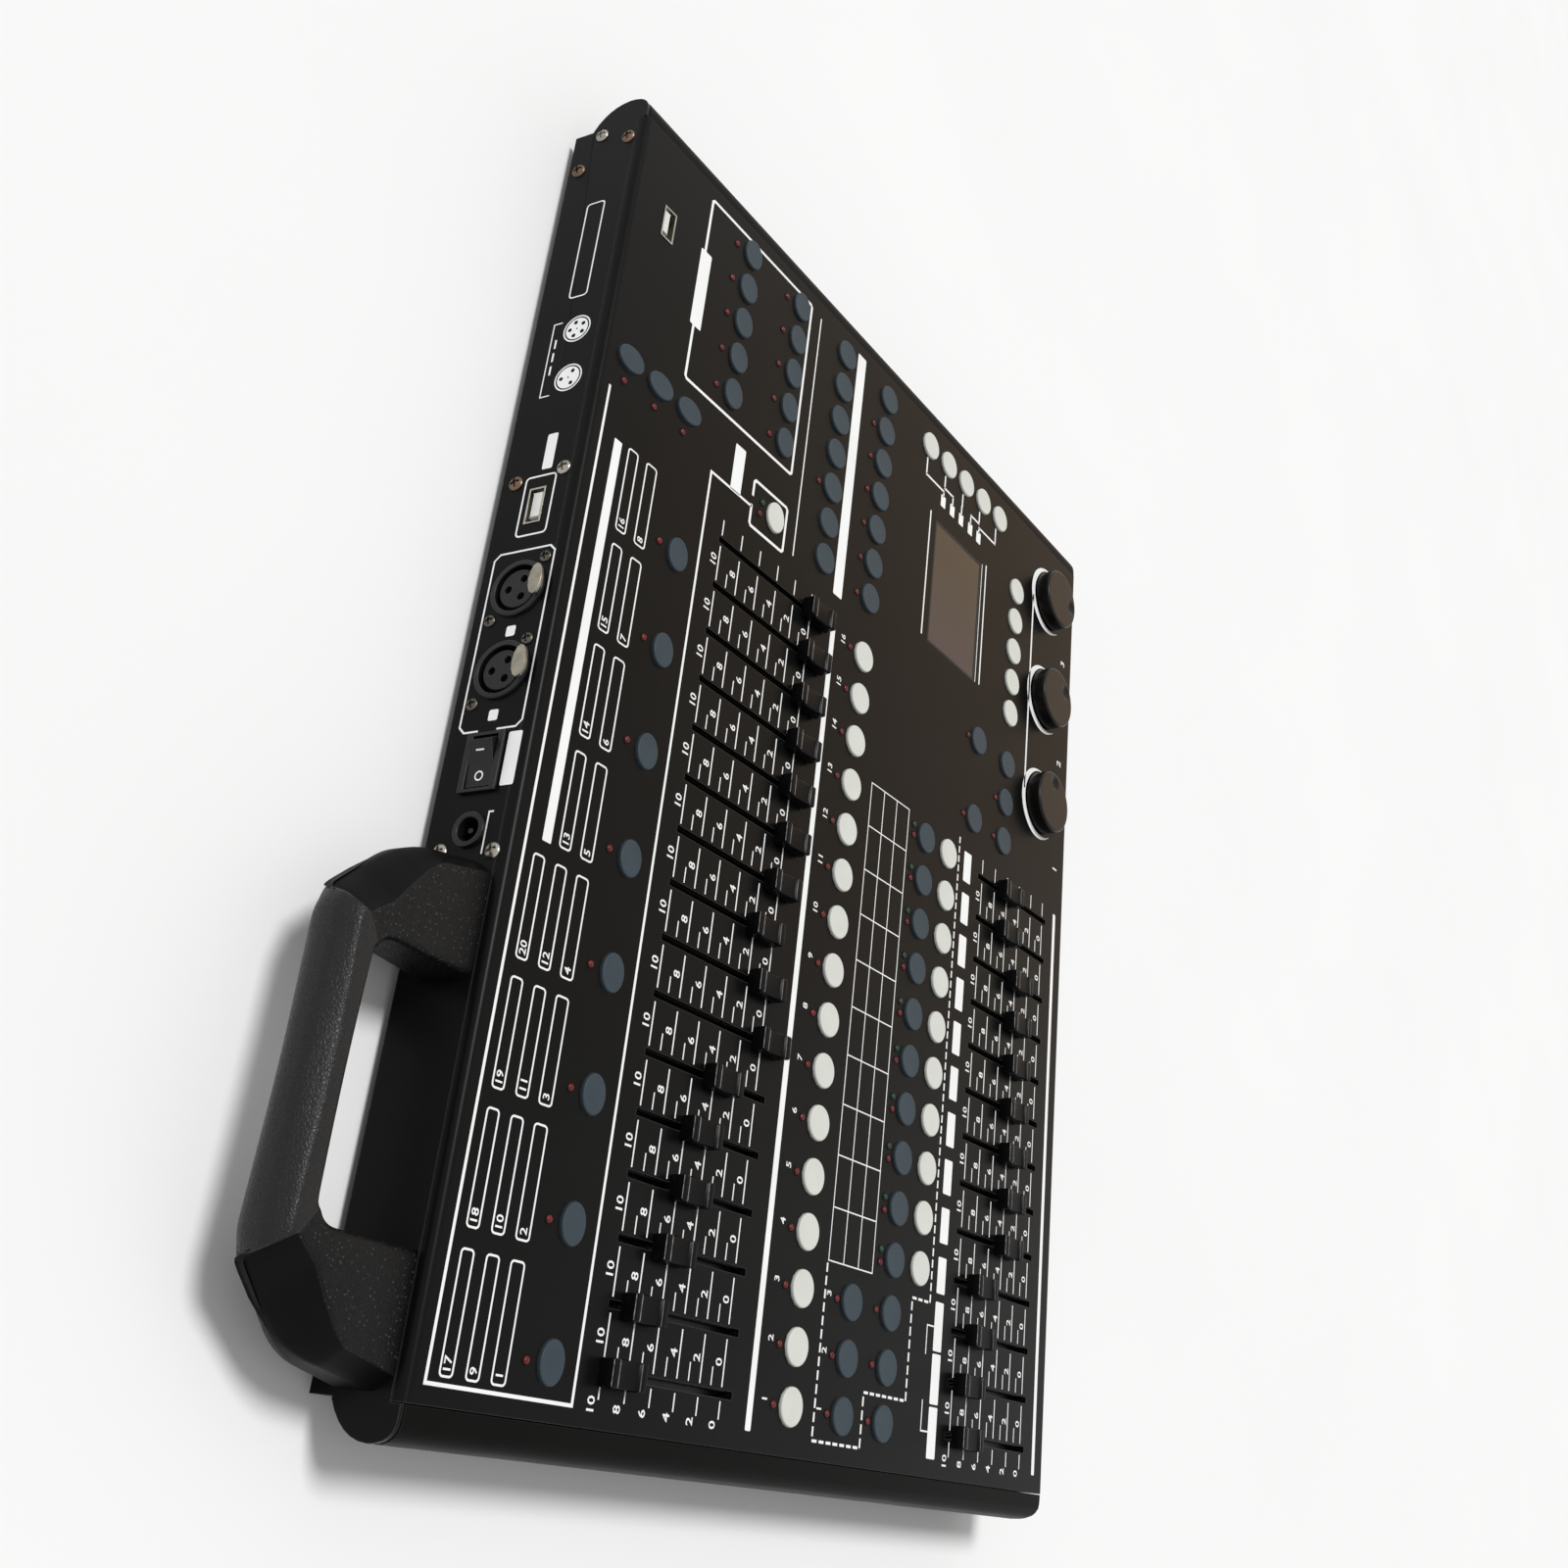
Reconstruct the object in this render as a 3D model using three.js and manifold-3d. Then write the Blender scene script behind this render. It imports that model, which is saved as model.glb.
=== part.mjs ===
// A desk lighting controller: a slim folded-steel console with rounded side rails, a moulded
// carry handle on its rear panel, sixteen fixture faders, thirteen playback and master faders,
// rows of rubber keys on mats, a display, three jog wheels and the rear sockets.
// Millimetres, +Z up, the operator sits at -Y, the rear panel faces +Y.

import * as THREE from 'three';
import { mergeVertices } from 'three/addons/utils/BufferGeometryUtils.js';
import Module from 'manifold-3d';

const wasm = await Module();
wasm.setup();

// Sheet metal and seams
const sheet = 1.5;
const seam = 0.3;
const bodyHeight = 33;
const bendRadius = 3;
const rearLipDrop = 4;
const sideFlangeDrop = 10;
const trayLipHeight = 4.2;
const rearLeanDegrees = 8.2;
const cutOverrun = 1;

// Rubber feet under the tray
const footHeight = 4;
const footRadius = 8;
const footInset = 32;

// Rounded side rails
const railWidth = 11;
const railHeight = 25;
const railShoulder = 0.6;
const railCornerRadius = 9;
const railFlatShare = 0.35;
const railUpperPullShare = 0.95;
const railBulgeDropShare = 0.38;
const railLowerPullShare = 0.98;
const railLowerDropShare = 0.78;

// Faders
const faderPitch = 20;
const faderTravel = 60;
const slotWidth = 2.6;
const slotEndGap = 1.25;
const capLength = 16.5;
const capWidth = 8.6;
const capHeight = 5.6;
const capCrestLength = 3.2;
const capSaddleDrop = 0.8;
const capSaddleRun = 1.6;
const capEndDraft = 0.3;
const capLift = 0.5;
const stemThickness = 1.2;
const stemLength = 5;
const potWidth = 9;
const potLength = 77;
const potSlotWidth = 2.2;
const stemDepth = 5;

// Keys and their rubber mats
const keyRadius = 6.6;
const keyOvalShare = 0.79;
const keyPitch = 17.75;
const keyProud = 1.2;
const keyClearance = 0.35;
const matThickness = 1.2;
const matBorder = 8.5;

// Columns, counted from the panel's left edge
const leftMargin = 16.4;
const fixtureCount = 16;
const playbackCount = 10;
const masterCount = 3;
const attributeCount = 8;
const blockGap = 29.3;
const rightColumns = 7;
const rightMargin = 12.8;

// Rows, counted from the panel's rear edge
const bankRow = 14;
const bankPitch = 17;
const bankCount = 3;
const bankShift = 11.2;
const attributeRow = 53.7;
const attributeMatToPot = 8.35;
const potToFixtureMat = 20.85;
const functionRow = 71;
const levelKeyShift = 1.3;
const rightRowPitch = 35.5;
const functionColumns = 5;
const fixtureToDarkRow = 60.4;
const masterRowGap = 27.7;
const playbackRowPitch = 19.4;
const whiteMatToPot = 14.55;
const potToFront = 13.25;

// Display block
const windowWidth = 66;
const windowDepth = 44;
const windowShift = 4.5;
const pageRowToWindow = 48.3;
const displayBezel = 5;
const displayThickness = 7;
const displayGlassDrop = 0.4;
const softKeyCount = 5;
const softKeyPitch = 17.2;
const softKeyLead = 10.3;
const softKeyInset = 0.8;
const windowToMenuRow = 35.9;
const menuKeyPitch = 17.5;
const transportPitch = 20.1;
const transportRowPitch = 28.6;
const transportGap = 28.1;

// Jog wheels
const wheelRadius = 15.5;
const wheelHeight = 7.5;
const wheelPitch = 58.7;
const wheelLift = 0.5;
const menuRowToWheels = 35.4;
const wheelLead = 34.2;
const wheelCount = 3;
const wheelShaftRadius = 3;
const wheelShaftDepth = 5;
const wheelShaftClearance = 0.5;
const dimpleRadius = 6;
const dimpleDepth = 1.3;
const dimpleOrbit = 10;
const wheelEdgeRound = 1.2;
const wheelBackMargin = 28.5;
const encoderWidth = 12;

// Circuit board
const boardThickness = 1.6;
const boardDrop = 11.4;
const boardSideInset = 6;
const boardRearInset = 64;
const boardFrontInset = 9;

// Carry handle
const handleLeft = 2;
const handleLength = 154;
const handleReach = 53;
const handleHeight = 24;
const gripHeightShare = 0.74;
const handleTopDrop = 4.5;
const legWidth = 37.5;
const gripThickness = 12.5;
const handleEdgeRound = 6;
const gripInset = 28;
const gripCornerRadius = 7;
const gapCornerRadius = 9;
const footStep = 5;
const footRise = 28;
const footCornerRadius = 10;

// Rear sockets, counted from the handle's right end
const handleToJack = 11;
const jackToSwitch = 23.4;
const switchToSocket = 33.7;
const socketPitch = 31.1;
const socketToUsb = 33.4;
const xlrBodyRadius = 9.6;
const xlrRimRadius = 11.4;
const xlrRimProud = 1.8;
const xlrDepth = 18;
const xlrGrooveOuter = 8.9;
const xlrGrooveInner = 7.4;
const xlrGrooveDepth = 5;
const xlrFaceDrop = 1;
const xlrPinHoleRadius = 1.4;
const xlrPinOrbit = 3.9;
const xlrPinDepth = 3;
const latchWidth = 12;
const latchHeight = 5.4;
const latchProud = 1.4;
const latchStemWidth = 4;
const latchStemHeight = 1.4;
const latchStemDepth = 2.4;
const latchTravel = 1;
const latchDrop = 1.6;
const jackRadius = 5.5;
const jackBodyRadius = 4.2;
const jackBoreRadius = 3;
const jackPinRadius = 1;
const jackProud = 1.2;
const jackDepth = 13;
const jackBoreDepth = 9;
const switchWidth = 21;
const switchHeight = 15;
const switchBezelWall = 1.2;
const switchBezelProud = 1.6;
const switchBodyDepth = 13;
const switchBodyWall = 1;
const rockerPivotDrop = 2;
const rockerRadius = 9;
const rockerClearance = 0.3;
const rockerSwingDegrees = 12;
const rockerTopDegrees = 30;
const rockerFootDegrees = 25;
const rockerValley = 1.2;
const wellDepth = 6.8;
const usbWidth = 14.6;
const usbHeight = 7;
const usbWall = 0.7;
const usbDepth = 14;
const usbBoreDepth = 10;
const usbTongueHeight = 1.9;
const usbTongueWidth = 9.5;
const usbProud = 0.5;
const lampRow = 20.8;
const lampRightMargin = 38.4;

// How finely round shapes are drawn
const keySides = 12;
const jackSides = 10;
const socketSides = 10;
const wheelSides = 32;
const dimpleSides = 12;
const dimpleRings = 8;
const pinSides = 4;
const curveSteps = 6;
const bendSteps = 4;
const edgeSteps = 3;

// Where each fader stands, as a share of its travel from the rear stop
const fixtureRestShares = [
  0.07, 0.17, 0.35, 0.43, 0.455, 0.59, 1, 0.9, 0.82, 0.94, 0.985, 0.975, 0.99, 0.99, 1, 1,
];
const playbackRestShares = [0.26, 0.61, 0.62, 0.61, 0.6, 0.6, 0.585, 0.585, 0.36, 0.37];
const masterRestShares = [0.16, 0.15, 0.27];

// Where each wheel's dimple stands, as a share of a turn from +X
const dimpleTurnShares = [0, -0.14, -0.25];

// Places worked out from the sizes above
const panelWidth = leftMargin + (fixtureCount - 1) * faderPitch + blockGap
  + (rightColumns - 1) * keyPitch + rightMargin;
const rightBlockLeft = leftMargin + (fixtureCount - 1) * faderPitch + blockGap;
const slotLength = faderTravel + stemLength + 2 * slotEndGap;
const potMargin = (potLength - slotLength) / 2;
const slotRear = attributeRow + matBorder + attributeMatToPot + potMargin;
const fixtureRow = slotRear + slotLength + potMargin + potToFixtureMat + matBorder;
const darkRow = fixtureRow + fixtureToDarkRow;
const whiteRow = darkRow + playbackRowPitch;
const playbackSlotRear = whiteRow + matBorder + whiteMatToPot + potMargin;
const lightingRow = functionRow + 2 * rightRowPitch;
const pageRow = lightingRow + rightRowPitch;
const windowRear = pageRow + pageRowToWindow;
const windowLeft = rightBlockLeft + windowShift;
const menuRow = windowRear + windowDepth + windowToMenuRow;
const wheelRow = menuRow + menuRowToWheels;
const panelDepth = Math.max(
  playbackSlotRear + slotLength + potMargin + potToFront, wheelRow + wheelBackMargin);
const rightColumn = panelWidth - rightMargin;
const panelTop = footHeight + bodyHeight;
const panelUnder = panelTop - sheet;
const matTop = panelUnder - seam;
const boardTop = panelTop - boardDrop;
const rearLean = THREE.MathUtils.degToRad(rearLeanDegrees);
const rearPlateHeight = bodyHeight / Math.cos(rearLean);
const socketDrop = (rearLipDrop + rearPlateHeight - trayLipHeight) / 2;
const latchStemTop = xlrBodyRadius * Math.cos(Math.PI / socketSides) - seam;
const weldDistance = sheet / 10000;

const steelBlack = { color: 0x202120, roughness: 0.5, metalness: 0.3 };
const plasticBlack = { color: 0x1a1a1b, roughness: 0.6, metalness: 0 };
const grainBlack = { color: 0x222426, roughness: 0.75, metalness: 0 };
const slateRubber = { color: 0x4b5862, roughness: 0.7, metalness: 0 };
const whiteRubber = { color: 0xd7d8d2, roughness: 0.65, metalness: 0 };
const boardGreen = { color: 0x1f5a3a, roughness: 0.6, metalness: 0 };
const displayGlass = { color: 0x4a3a36, roughness: 0.15, metalness: 0 };
const nickel = { color: 0xb5ab92, roughness: 0.35, metalness: 1 };

const group = new THREE.Group();
const rear = new THREE.Group();
rear.position.set(0, panelDepth / 2, panelTop);
rear.rotation.x = rearLean;
group.add(rear);

// Turns a closed geometry into a solid that can be cut and joined.
function solidOf(geometry) {
  const bare = geometry.index ? geometry.toNonIndexed() : geometry.clone();
  bare.deleteAttribute('normal');
  bare.deleteAttribute('uv');
  const merged = mergeVertices(bare, weldDistance);
  return new wasm.Manifold(new wasm.Mesh({
    numProp: 3,
    vertProperties: new Float32Array(merged.attributes.position.array),
    triVerts: new Uint32Array(merged.index.array),
  }));
}

function geometryOf(solid) {
  const mesh = solid.getMesh();
  const geometry = new THREE.BufferGeometry();
  geometry.setAttribute('position', new THREE.BufferAttribute(new Float32Array(mesh.vertProperties), 3));
  geometry.setIndex(new THREE.BufferAttribute(new Uint32Array(mesh.triVerts), 1));
  geometry.computeVertexNormals();
  return geometry;
}

function join(solids) {
  return wasm.Manifold.union(solids);
}

function addMesh(parent, name, solid, finish) {
  const mesh = new THREE.Mesh(geometryOf(solid), new THREE.MeshStandardMaterial(finish));
  mesh.name = name;
  parent.add(mesh);
  return mesh;
}

// A box given by its low and high corners.
function block(x0, y0, z0, x1, y1, z1) {
  const geometry = new THREE.BoxGeometry(x1 - x0, y1 - y0, z1 - z0);
  geometry.translate((x0 + x1) / 2, (y0 + y1) / 2, (z0 + z1) / 2);
  return solidOf(geometry);
}

// An upright round bar between two heights.
function bar(x, y, radius, z0, z1, sides) {
  const geometry = new THREE.CylinderGeometry(radius, radius, z1 - z0, sides);
  geometry.rotateX(Math.PI / 2);
  geometry.translate(x, y, (z0 + z1) / 2);
  return solidOf(geometry);
}

// A flat outline carried upwards from one height to another.
function prism(shape, z0, z1, curveSegments) {
  const geometry = new THREE.ExtrudeGeometry(shape, {
    depth: z1 - z0, bevelEnabled: false, curveSegments,
  });
  geometry.translate(0, 0, z0);
  return solidOf(geometry);
}

// A side profile, drawn in Y and Z, carried across in X and centred on it.
function carryAcross(shape, width, curveSegments) {
  const geometry = new THREE.ExtrudeGeometry(shape, { depth: width, bevelEnabled: false, curveSegments });
  geometry.applyMatrix4(new THREE.Matrix4().makeBasis(
    new THREE.Vector3(0, 1, 0), new THREE.Vector3(0, 0, 1), new THREE.Vector3(1, 0, 0)));
  geometry.translate(-width / 2, 0, 0);
  return solidOf(geometry);
}

// A profile of radius and height turned about an axis that points along +Y.
function turnAboutY(profile, sides) {
  const points = profile.map(([radius, along]) => new THREE.Vector2(radius, along));
  return solidOf(new THREE.LatheGeometry(points, sides));
}

// A closed outline through corners given as x, y and how far each corner is rounded back.
function roundedOutline(corners) {
  const shape = new THREE.Shape();
  corners.forEach(([x, y, round], index) => {
    const corner = new THREE.Vector2(x, y);
    const before = new THREE.Vector2(...corners.at(index - 1));
    const after = new THREE.Vector2(...corners[(index + 1) % corners.length]);
    const start = before.sub(corner).setLength(round).add(corner);
    const end = after.sub(corner).setLength(round).add(corner);
    if (index === 0) {
      shape.moveTo(start.x, start.y);
    } else {
      shape.lineTo(start.x, start.y);
    }
    if (round > 0) {
      shape.quadraticCurveTo(x, y, end.x, end.y);
    }
  });
  shape.closePath();
  return shape;
}

// Stands a flat outline up: its Y becomes Z and its depth runs back along -Y.
function standUp(shape, depth, curveSegments) {
  const geometry = new THREE.ExtrudeGeometry(shape, { depth, bevelEnabled: false, curveSegments });
  geometry.applyMatrix4(new THREE.Matrix4().makeBasis(
    new THREE.Vector3(1, 0, 0), new THREE.Vector3(0, 0, 1), new THREE.Vector3(0, -1, 0)));
  return geometry;
}

// Panel places are counted from the rear left corner; these give the model's X and Y.
function acrossAt(fromLeft) {
  return fromLeft - panelWidth / 2;
}

function alongAt(fromRear) {
  return panelDepth / 2 - fromRear;
}

function column(index) {
  return leftMargin + index * faderPitch;
}

// The places of every key, mat by mat, as pairs counted from the rear left corner.
function rowOfKeys(count, first, pitch, row) {
  return Array.from({ length: count }, (_, index) => [first + index * pitch, row]);
}

function columnOfKeys(count, across, first, pitch) {
  return Array.from({ length: count }, (_, index) => [across, first + index * pitch]);
}

const masterKeyRow = darkRow - masterRowGap;
const softKeyColumn = rightColumn - softKeyInset;
const softKeyFirst = windowRear - softKeyLead;
const transportRight = windowLeft - transportGap;
const transportLeft = transportRight - 2 * transportPitch;
const transportRearRow = menuRow - transportRowPitch;
const keyPlaces = {
  attribute_keys: rowOfKeys(attributeCount, leftMargin, 2 * faderPitch, attributeRow),
  bank_keys: columnOfKeys(bankCount, rightBlockLeft + bankShift, bankRow, bankPitch),
  level_key: [[rightBlockLeft - levelKeyShift, functionRow + rightRowPitch]],
  fixture_keys: rowOfKeys(fixtureCount, leftMargin, faderPitch, fixtureRow),
  function_keys: [
    ...rowOfKeys(functionColumns, rightColumn, -keyPitch, functionRow),
    ...rowOfKeys(functionColumns, rightColumn, -keyPitch, functionRow + rightRowPitch),
  ],
  lighting_keys: rowOfKeys(rightColumns, rightColumn, -keyPitch, lightingRow),
  page_keys: rowOfKeys(rightColumns, rightColumn, -keyPitch, pageRow),
  display_keys: [
    ...columnOfKeys(softKeyCount, softKeyColumn, softKeyFirst, softKeyPitch),
    ...rowOfKeys(softKeyCount, windowLeft, menuKeyPitch, menuRow),
  ],
  transport_keys: [
    [transportRight, transportRearRow],
    [transportLeft, transportRearRow],
    ...rowOfKeys(3, transportLeft, transportPitch, menuRow),
  ],
  playback_dark_keys: [
    ...rowOfKeys(playbackCount + masterCount, leftMargin, faderPitch, darkRow),
    ...rowOfKeys(masterCount, leftMargin, faderPitch, masterKeyRow),
  ],
  playback_white_keys: rowOfKeys(playbackCount, column(masterCount), faderPitch, whiteRow),
};

// Each mat is one or more rectangles of web that carry its keys.
function webAround(places) {
  const across = places.map(([x]) => x);
  const along = places.map(([, f]) => f);
  return block(
    acrossAt(Math.min(...across) - matBorder), alongAt(Math.max(...along) + matBorder),
    matTop - matThickness,
    acrossAt(Math.max(...across) + matBorder), alongAt(Math.min(...along) - matBorder), matTop);
}

const websOf = {
  display_keys: (keys) => [
    keys.slice(0, softKeyCount).concat([[softKeyColumn, menuRow]]),
    keys.slice(softKeyCount).concat([[softKeyColumn, menuRow]]),
  ],
  transport_keys: (keys) => [
    [keys[0], [transportRight, menuRow]],
    [keys[1], [transportLeft, menuRow]],
    keys.slice(2),
  ],
  playback_dark_keys: (keys) => [
    keys.slice(0, playbackCount + masterCount),
    keys.slice(playbackCount + masterCount).concat([[column(0), darkRow]]),
  ],
};

// Most keys are round. Some rows have ovals that lie along the row, and the bank keys' ovals
// stand the other way round.
const rowOvals = ['attribute_keys', 'function_keys', 'level_key'];

function keyBar(name, [x, f], clearance, z0, z1) {
  const halfAcross = keyRadius * (name === 'bank_keys' ? keyOvalShare : 1) + clearance;
  const halfAlong = keyRadius * (rowOvals.includes(name) ? keyOvalShare : 1) + clearance;
  const geometry = new THREE.CylinderGeometry(keyRadius, keyRadius, z1 - z0, keySides);
  geometry.rotateX(Math.PI / 2);
  geometry.scale(halfAcross / keyRadius, halfAlong / keyRadius, 1);
  geometry.translate(acrossAt(x), alongAt(f), (z0 + z1) / 2);
  return solidOf(geometry);
}

function keyMat(name) {
  const keys = keyPlaces[name];
  const webs = websOf[name] ? websOf[name](keys) : [keys];
  const caps = keys.map((place) => keyBar(name, place, 0, matTop - matThickness, panelTop + keyProud));
  return join([...webs.map(webAround), ...caps]);
}

// Fader places: the slot's rear end and the cap's rest place, counted from the rear edge.
function faderTable() {
  const endMargin = (slotLength - faderTravel) / 2;
  const rows = [];
  fixtureRestShares.forEach((share, index) => rows.push({
    name: `fixture_fader_${String(index + 1).padStart(2, '0')}`,
    across: column(index),
    slot: slotRear,
    rest: slotRear + endMargin + share * faderTravel,
  }));
  masterRestShares.forEach((share, index) => rows.push({
    name: `master_fader_${index + 1}`,
    across: column(index),
    slot: playbackSlotRear,
    rest: playbackSlotRear + endMargin + share * faderTravel,
  }));
  playbackRestShares.forEach((share, index) => rows.push({
    name: `playback_fader_${String(index + 1).padStart(2, '0')}`,
    across: column(masterCount + index),
    slot: playbackSlotRear,
    rest: playbackSlotRear + endMargin + share * faderTravel,
  }));
  return rows;
}

const faders = faderTable();

// The steel top: rear bend and lip, flat deck and front skirt in one folded section.
function topPanel() {
  const rearY = panelDepth / 2;
  const frontY = -panelDepth / 2;
  const lean = Math.tan(rearLean);
  const lipOut = rearY + rearLipDrop * lean;
  const section = new THREE.Shape();
  section.moveTo(frontY, footHeight + sheet);
  section.lineTo(frontY + sheet, footHeight + sheet);
  section.lineTo(frontY + sheet, panelUnder);
  section.lineTo(rearY - bendRadius, panelUnder);
  section.quadraticCurveTo(rearY - sheet, panelUnder, lipOut - sheet, panelTop - rearLipDrop);
  section.lineTo(lipOut, panelTop - rearLipDrop);
  section.lineTo(rearY + bendRadius * lean, panelTop - bendRadius);
  section.quadraticCurveTo(rearY, panelTop, rearY - bendRadius, panelTop);
  section.lineTo(frontY + sheet, panelTop);
  section.quadraticCurveTo(frontY, panelTop, frontY, panelTop - sheet);
  section.closePath();
  const shell = carryAcross(section, panelWidth, bendSteps);
  const flanges = [-1, 1].map((side) => block(
    side * panelWidth / 2 - (side > 0 ? sheet : 0), frontY + sheet / 2, panelTop - sideFlangeDrop,
    side * panelWidth / 2 + (side > 0 ? 0 : sheet), rearY - bendRadius - sheet, panelUnder + sheet / 2));
  return join([shell, ...flanges]).subtract(join([...keyHoles(), ...faderSlots(), ...otherDeckHoles()]));
}

function keyHoles() {
  return Object.entries(keyPlaces).flatMap(([name, places]) => places.map((place) => keyBar(
    name, place, keyClearance, panelUnder - cutOverrun, panelTop + cutOverrun)));
}

function faderSlots() {
  return faders.map(({ across, slot }) => block(
    acrossAt(across) - slotWidth / 2, alongAt(slot + slotLength), panelUnder - cutOverrun,
    acrossAt(across) + slotWidth / 2, alongAt(slot), panelTop + cutOverrun));
}

function wheelPlaces() {
  return rowOfKeys(wheelCount, windowLeft - wheelLead, wheelPitch, wheelRow);
}

function otherDeckHoles() {
  const shafts = wheelPlaces().map(([x, f]) => bar(
    acrossAt(x), alongAt(f), wheelShaftRadius + wheelShaftClearance,
    panelUnder - cutOverrun, panelTop + cutOverrun, keySides));
  const display = block(
    acrossAt(windowLeft), alongAt(windowRear + windowDepth), panelUnder - cutOverrun,
    acrossAt(windowLeft + windowWidth), alongAt(windowRear), panelTop + cutOverrun);
  const lamp = block(
    lampAcross() - usbWidth / 2 - seam, alongAt(lampRow) - usbHeight / 2 - seam, panelUnder - cutOverrun,
    lampAcross() + usbWidth / 2 + seam, alongAt(lampRow) + usbHeight / 2 + seam, panelTop + cutOverrun);
  return [...shafts, display, lamp];
}

function lampAcross() {
  return acrossAt(panelWidth - lampRightMargin);
}

// The folded tray under everything, with its four feet.
function bottomTray() {
  const half = panelWidth / 2;
  const floorTop = footHeight + sheet;
  const rearY = panelDepth / 2 + (rearPlateHeight - trayLipHeight) * Math.sin(rearLean) - 2 * sheet;
  const frontY = -panelDepth / 2 + sheet + seam;
  const wallTop = panelTop - sideFlangeDrop - seam;
  const floor = block(-half, frontY, footHeight, half, rearY, floorTop);
  const sides = [-1, 1].map((side) => block(
    side > 0 ? half - sheet : -half, frontY, footHeight,
    side > 0 ? half : sheet - half, panelDepth / 2 - sheet - seam, wallTop));
  const front = block(-half, frontY, footHeight, half, frontY + sheet, wallTop);
  const lip = block(-half, rearY - sheet, footHeight, half, rearY, footHeight + trayLipHeight);
  const feet = [-1, 1].flatMap((side) => [-1, 1].map((end) => bar(
    side * (half - footInset), end * (panelDepth / 2 - footInset), footRadius, 0, floorTop, keySides)));
  return join([floor, ...sides, front, lip, ...feet]);
}

// The rail's section, outwards in X from the deck's edge and down from the deck's height.
function railSection(side, inner) {
  const flat = railWidth * railFlatShare;
  const section = new THREE.Shape();
  section.moveTo(side * inner, -railShoulder);
  section.lineTo(side * flat, -railShoulder);
  section.quadraticCurveTo(
    side * railWidth * railUpperPullShare, -railShoulder,
    side * railWidth, -railHeight * railBulgeDropShare);
  section.quadraticCurveTo(
    side * railWidth * railLowerPullShare, -railHeight * railLowerDropShare,
    side * (inner + seam), -railHeight);
  section.lineTo(side * inner, -railHeight);
  section.closePath();
  return section;
}

function sideRail(side) {
  const edge = side * panelWidth / 2;
  const outer = edge + side * railWidth;
  const rearEnd = panelDepth / 2 - sheet - seam;
  const frontEnd = -panelDepth / 2;
  const geometry = standUp(railSection(side, seam), rearEnd - frontEnd, curveSteps);
  geometry.translate(edge, rearEnd, panelTop);
  const plan = roundedOutline([
    [edge, rearEnd, 0], [outer, rearEnd, 0], [outer, frontEnd, railCornerRadius], [edge, frontEnd, 0],
  ]);
  return solidOf(geometry).intersect(prism(plan, 0, panelTop, bendSteps));
}

// The rear plate, drawn in its own leaning frame: X across, Z up from the deck, Y outwards.
// Its ends swell into two lobes that cover the rails.
function rearPlate() {
  const half = panelWidth / 2;
  const plateTop = -rearLipDrop / Math.cos(rearLean) - seam;
  const plate = block(-half, -sheet, -rearPlateHeight, half, 0, plateTop);
  const bridge = block(-half - 2 * seam, -sheet, seam - railHeight, half + 2 * seam, 0, plateTop);
  const lobes = [-1, 1].map((side) => {
    const lobe = standUp(railSection(side, seam), sheet, curveSteps);
    lobe.translate(side * half, 0, 0);
    return solidOf(lobe);
  });
  return join([plate, bridge, ...lobes]).subtract(join(rearHoles()));
}

// Where the rear sockets stand across the rear plate.
const jackAcross = acrossAt(handleLeft + handleLength + handleToJack);
const switchAcross = jackAcross + jackToSwitch;
const socketAcross = {
  xlr_socket_b: switchAcross + switchToSocket,
  xlr_socket_a: switchAcross + switchToSocket + socketPitch,
};
const usbAcross = socketAcross.xlr_socket_a + socketToUsb;

function rearHoles() {
  const round = (across, radius, sides) => {
    const geometry = new THREE.CylinderGeometry(radius, radius, sheet + 2 * cutOverrun, sides);
    geometry.translate(across, -sheet / 2, -socketDrop);
    return solidOf(geometry);
  };
  const square = (across, width, height) => block(
    across - width / 2, -sheet - cutOverrun, -socketDrop - height / 2,
    across + width / 2, cutOverrun, -socketDrop + height / 2);
  return [
    round(jackAcross, jackBodyRadius + seam, jackSides),
    square(switchAcross, switchWidth - switchBodyWall, switchHeight - switchBodyWall),
    ...Object.values(socketAcross).map((across) => round(across, xlrBodyRadius + seam, socketSides)),
    square(usbAcross, usbWidth + 2 * seam, usbHeight + 2 * seam),
  ];
}

// A three-pole socket: rim, shell, ring groove, insert with three pin holes and a latch recess.
function xlrSocket(across) {
  const body = turnAboutY([
    [0, -xlrDepth], [xlrBodyRadius, -xlrDepth], [xlrBodyRadius, seam], [xlrRimRadius, seam],
    [xlrRimRadius, xlrRimProud], [xlrGrooveOuter, xlrRimProud],
    [xlrGrooveOuter, xlrRimProud - xlrGrooveDepth], [xlrGrooveInner, xlrRimProud - xlrGrooveDepth],
    [xlrGrooveInner, xlrRimProud - xlrFaceDrop], [0, xlrRimProud - xlrFaceDrop],
  ], socketSides);
  const holes = [0, 1, 2].map((index) => {
    const angle = Math.PI / 2 + index * Math.PI * 2 / 3;
    const geometry = new THREE.CylinderGeometry(xlrPinHoleRadius, xlrPinHoleRadius, xlrPinDepth, pinSides);
    geometry.translate(
      xlrPinOrbit * Math.cos(angle), xlrRimProud - xlrPinDepth / 2, -xlrPinOrbit * Math.sin(angle));
    return solidOf(geometry);
  });
  const recessFloor = xlrRimProud - latchStemDepth - latchTravel - seam;
  const recess = block(
    -latchStemWidth / 2 - seam, recessFloor, latchStemTop - latchStemHeight - seam,
    latchStemWidth / 2 + seam, xlrRimProud + cutOverrun, latchStemTop + seam);
  return body.subtract(join([...holes, recess])).translate([across, 0, -socketDrop]);
}

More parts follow.
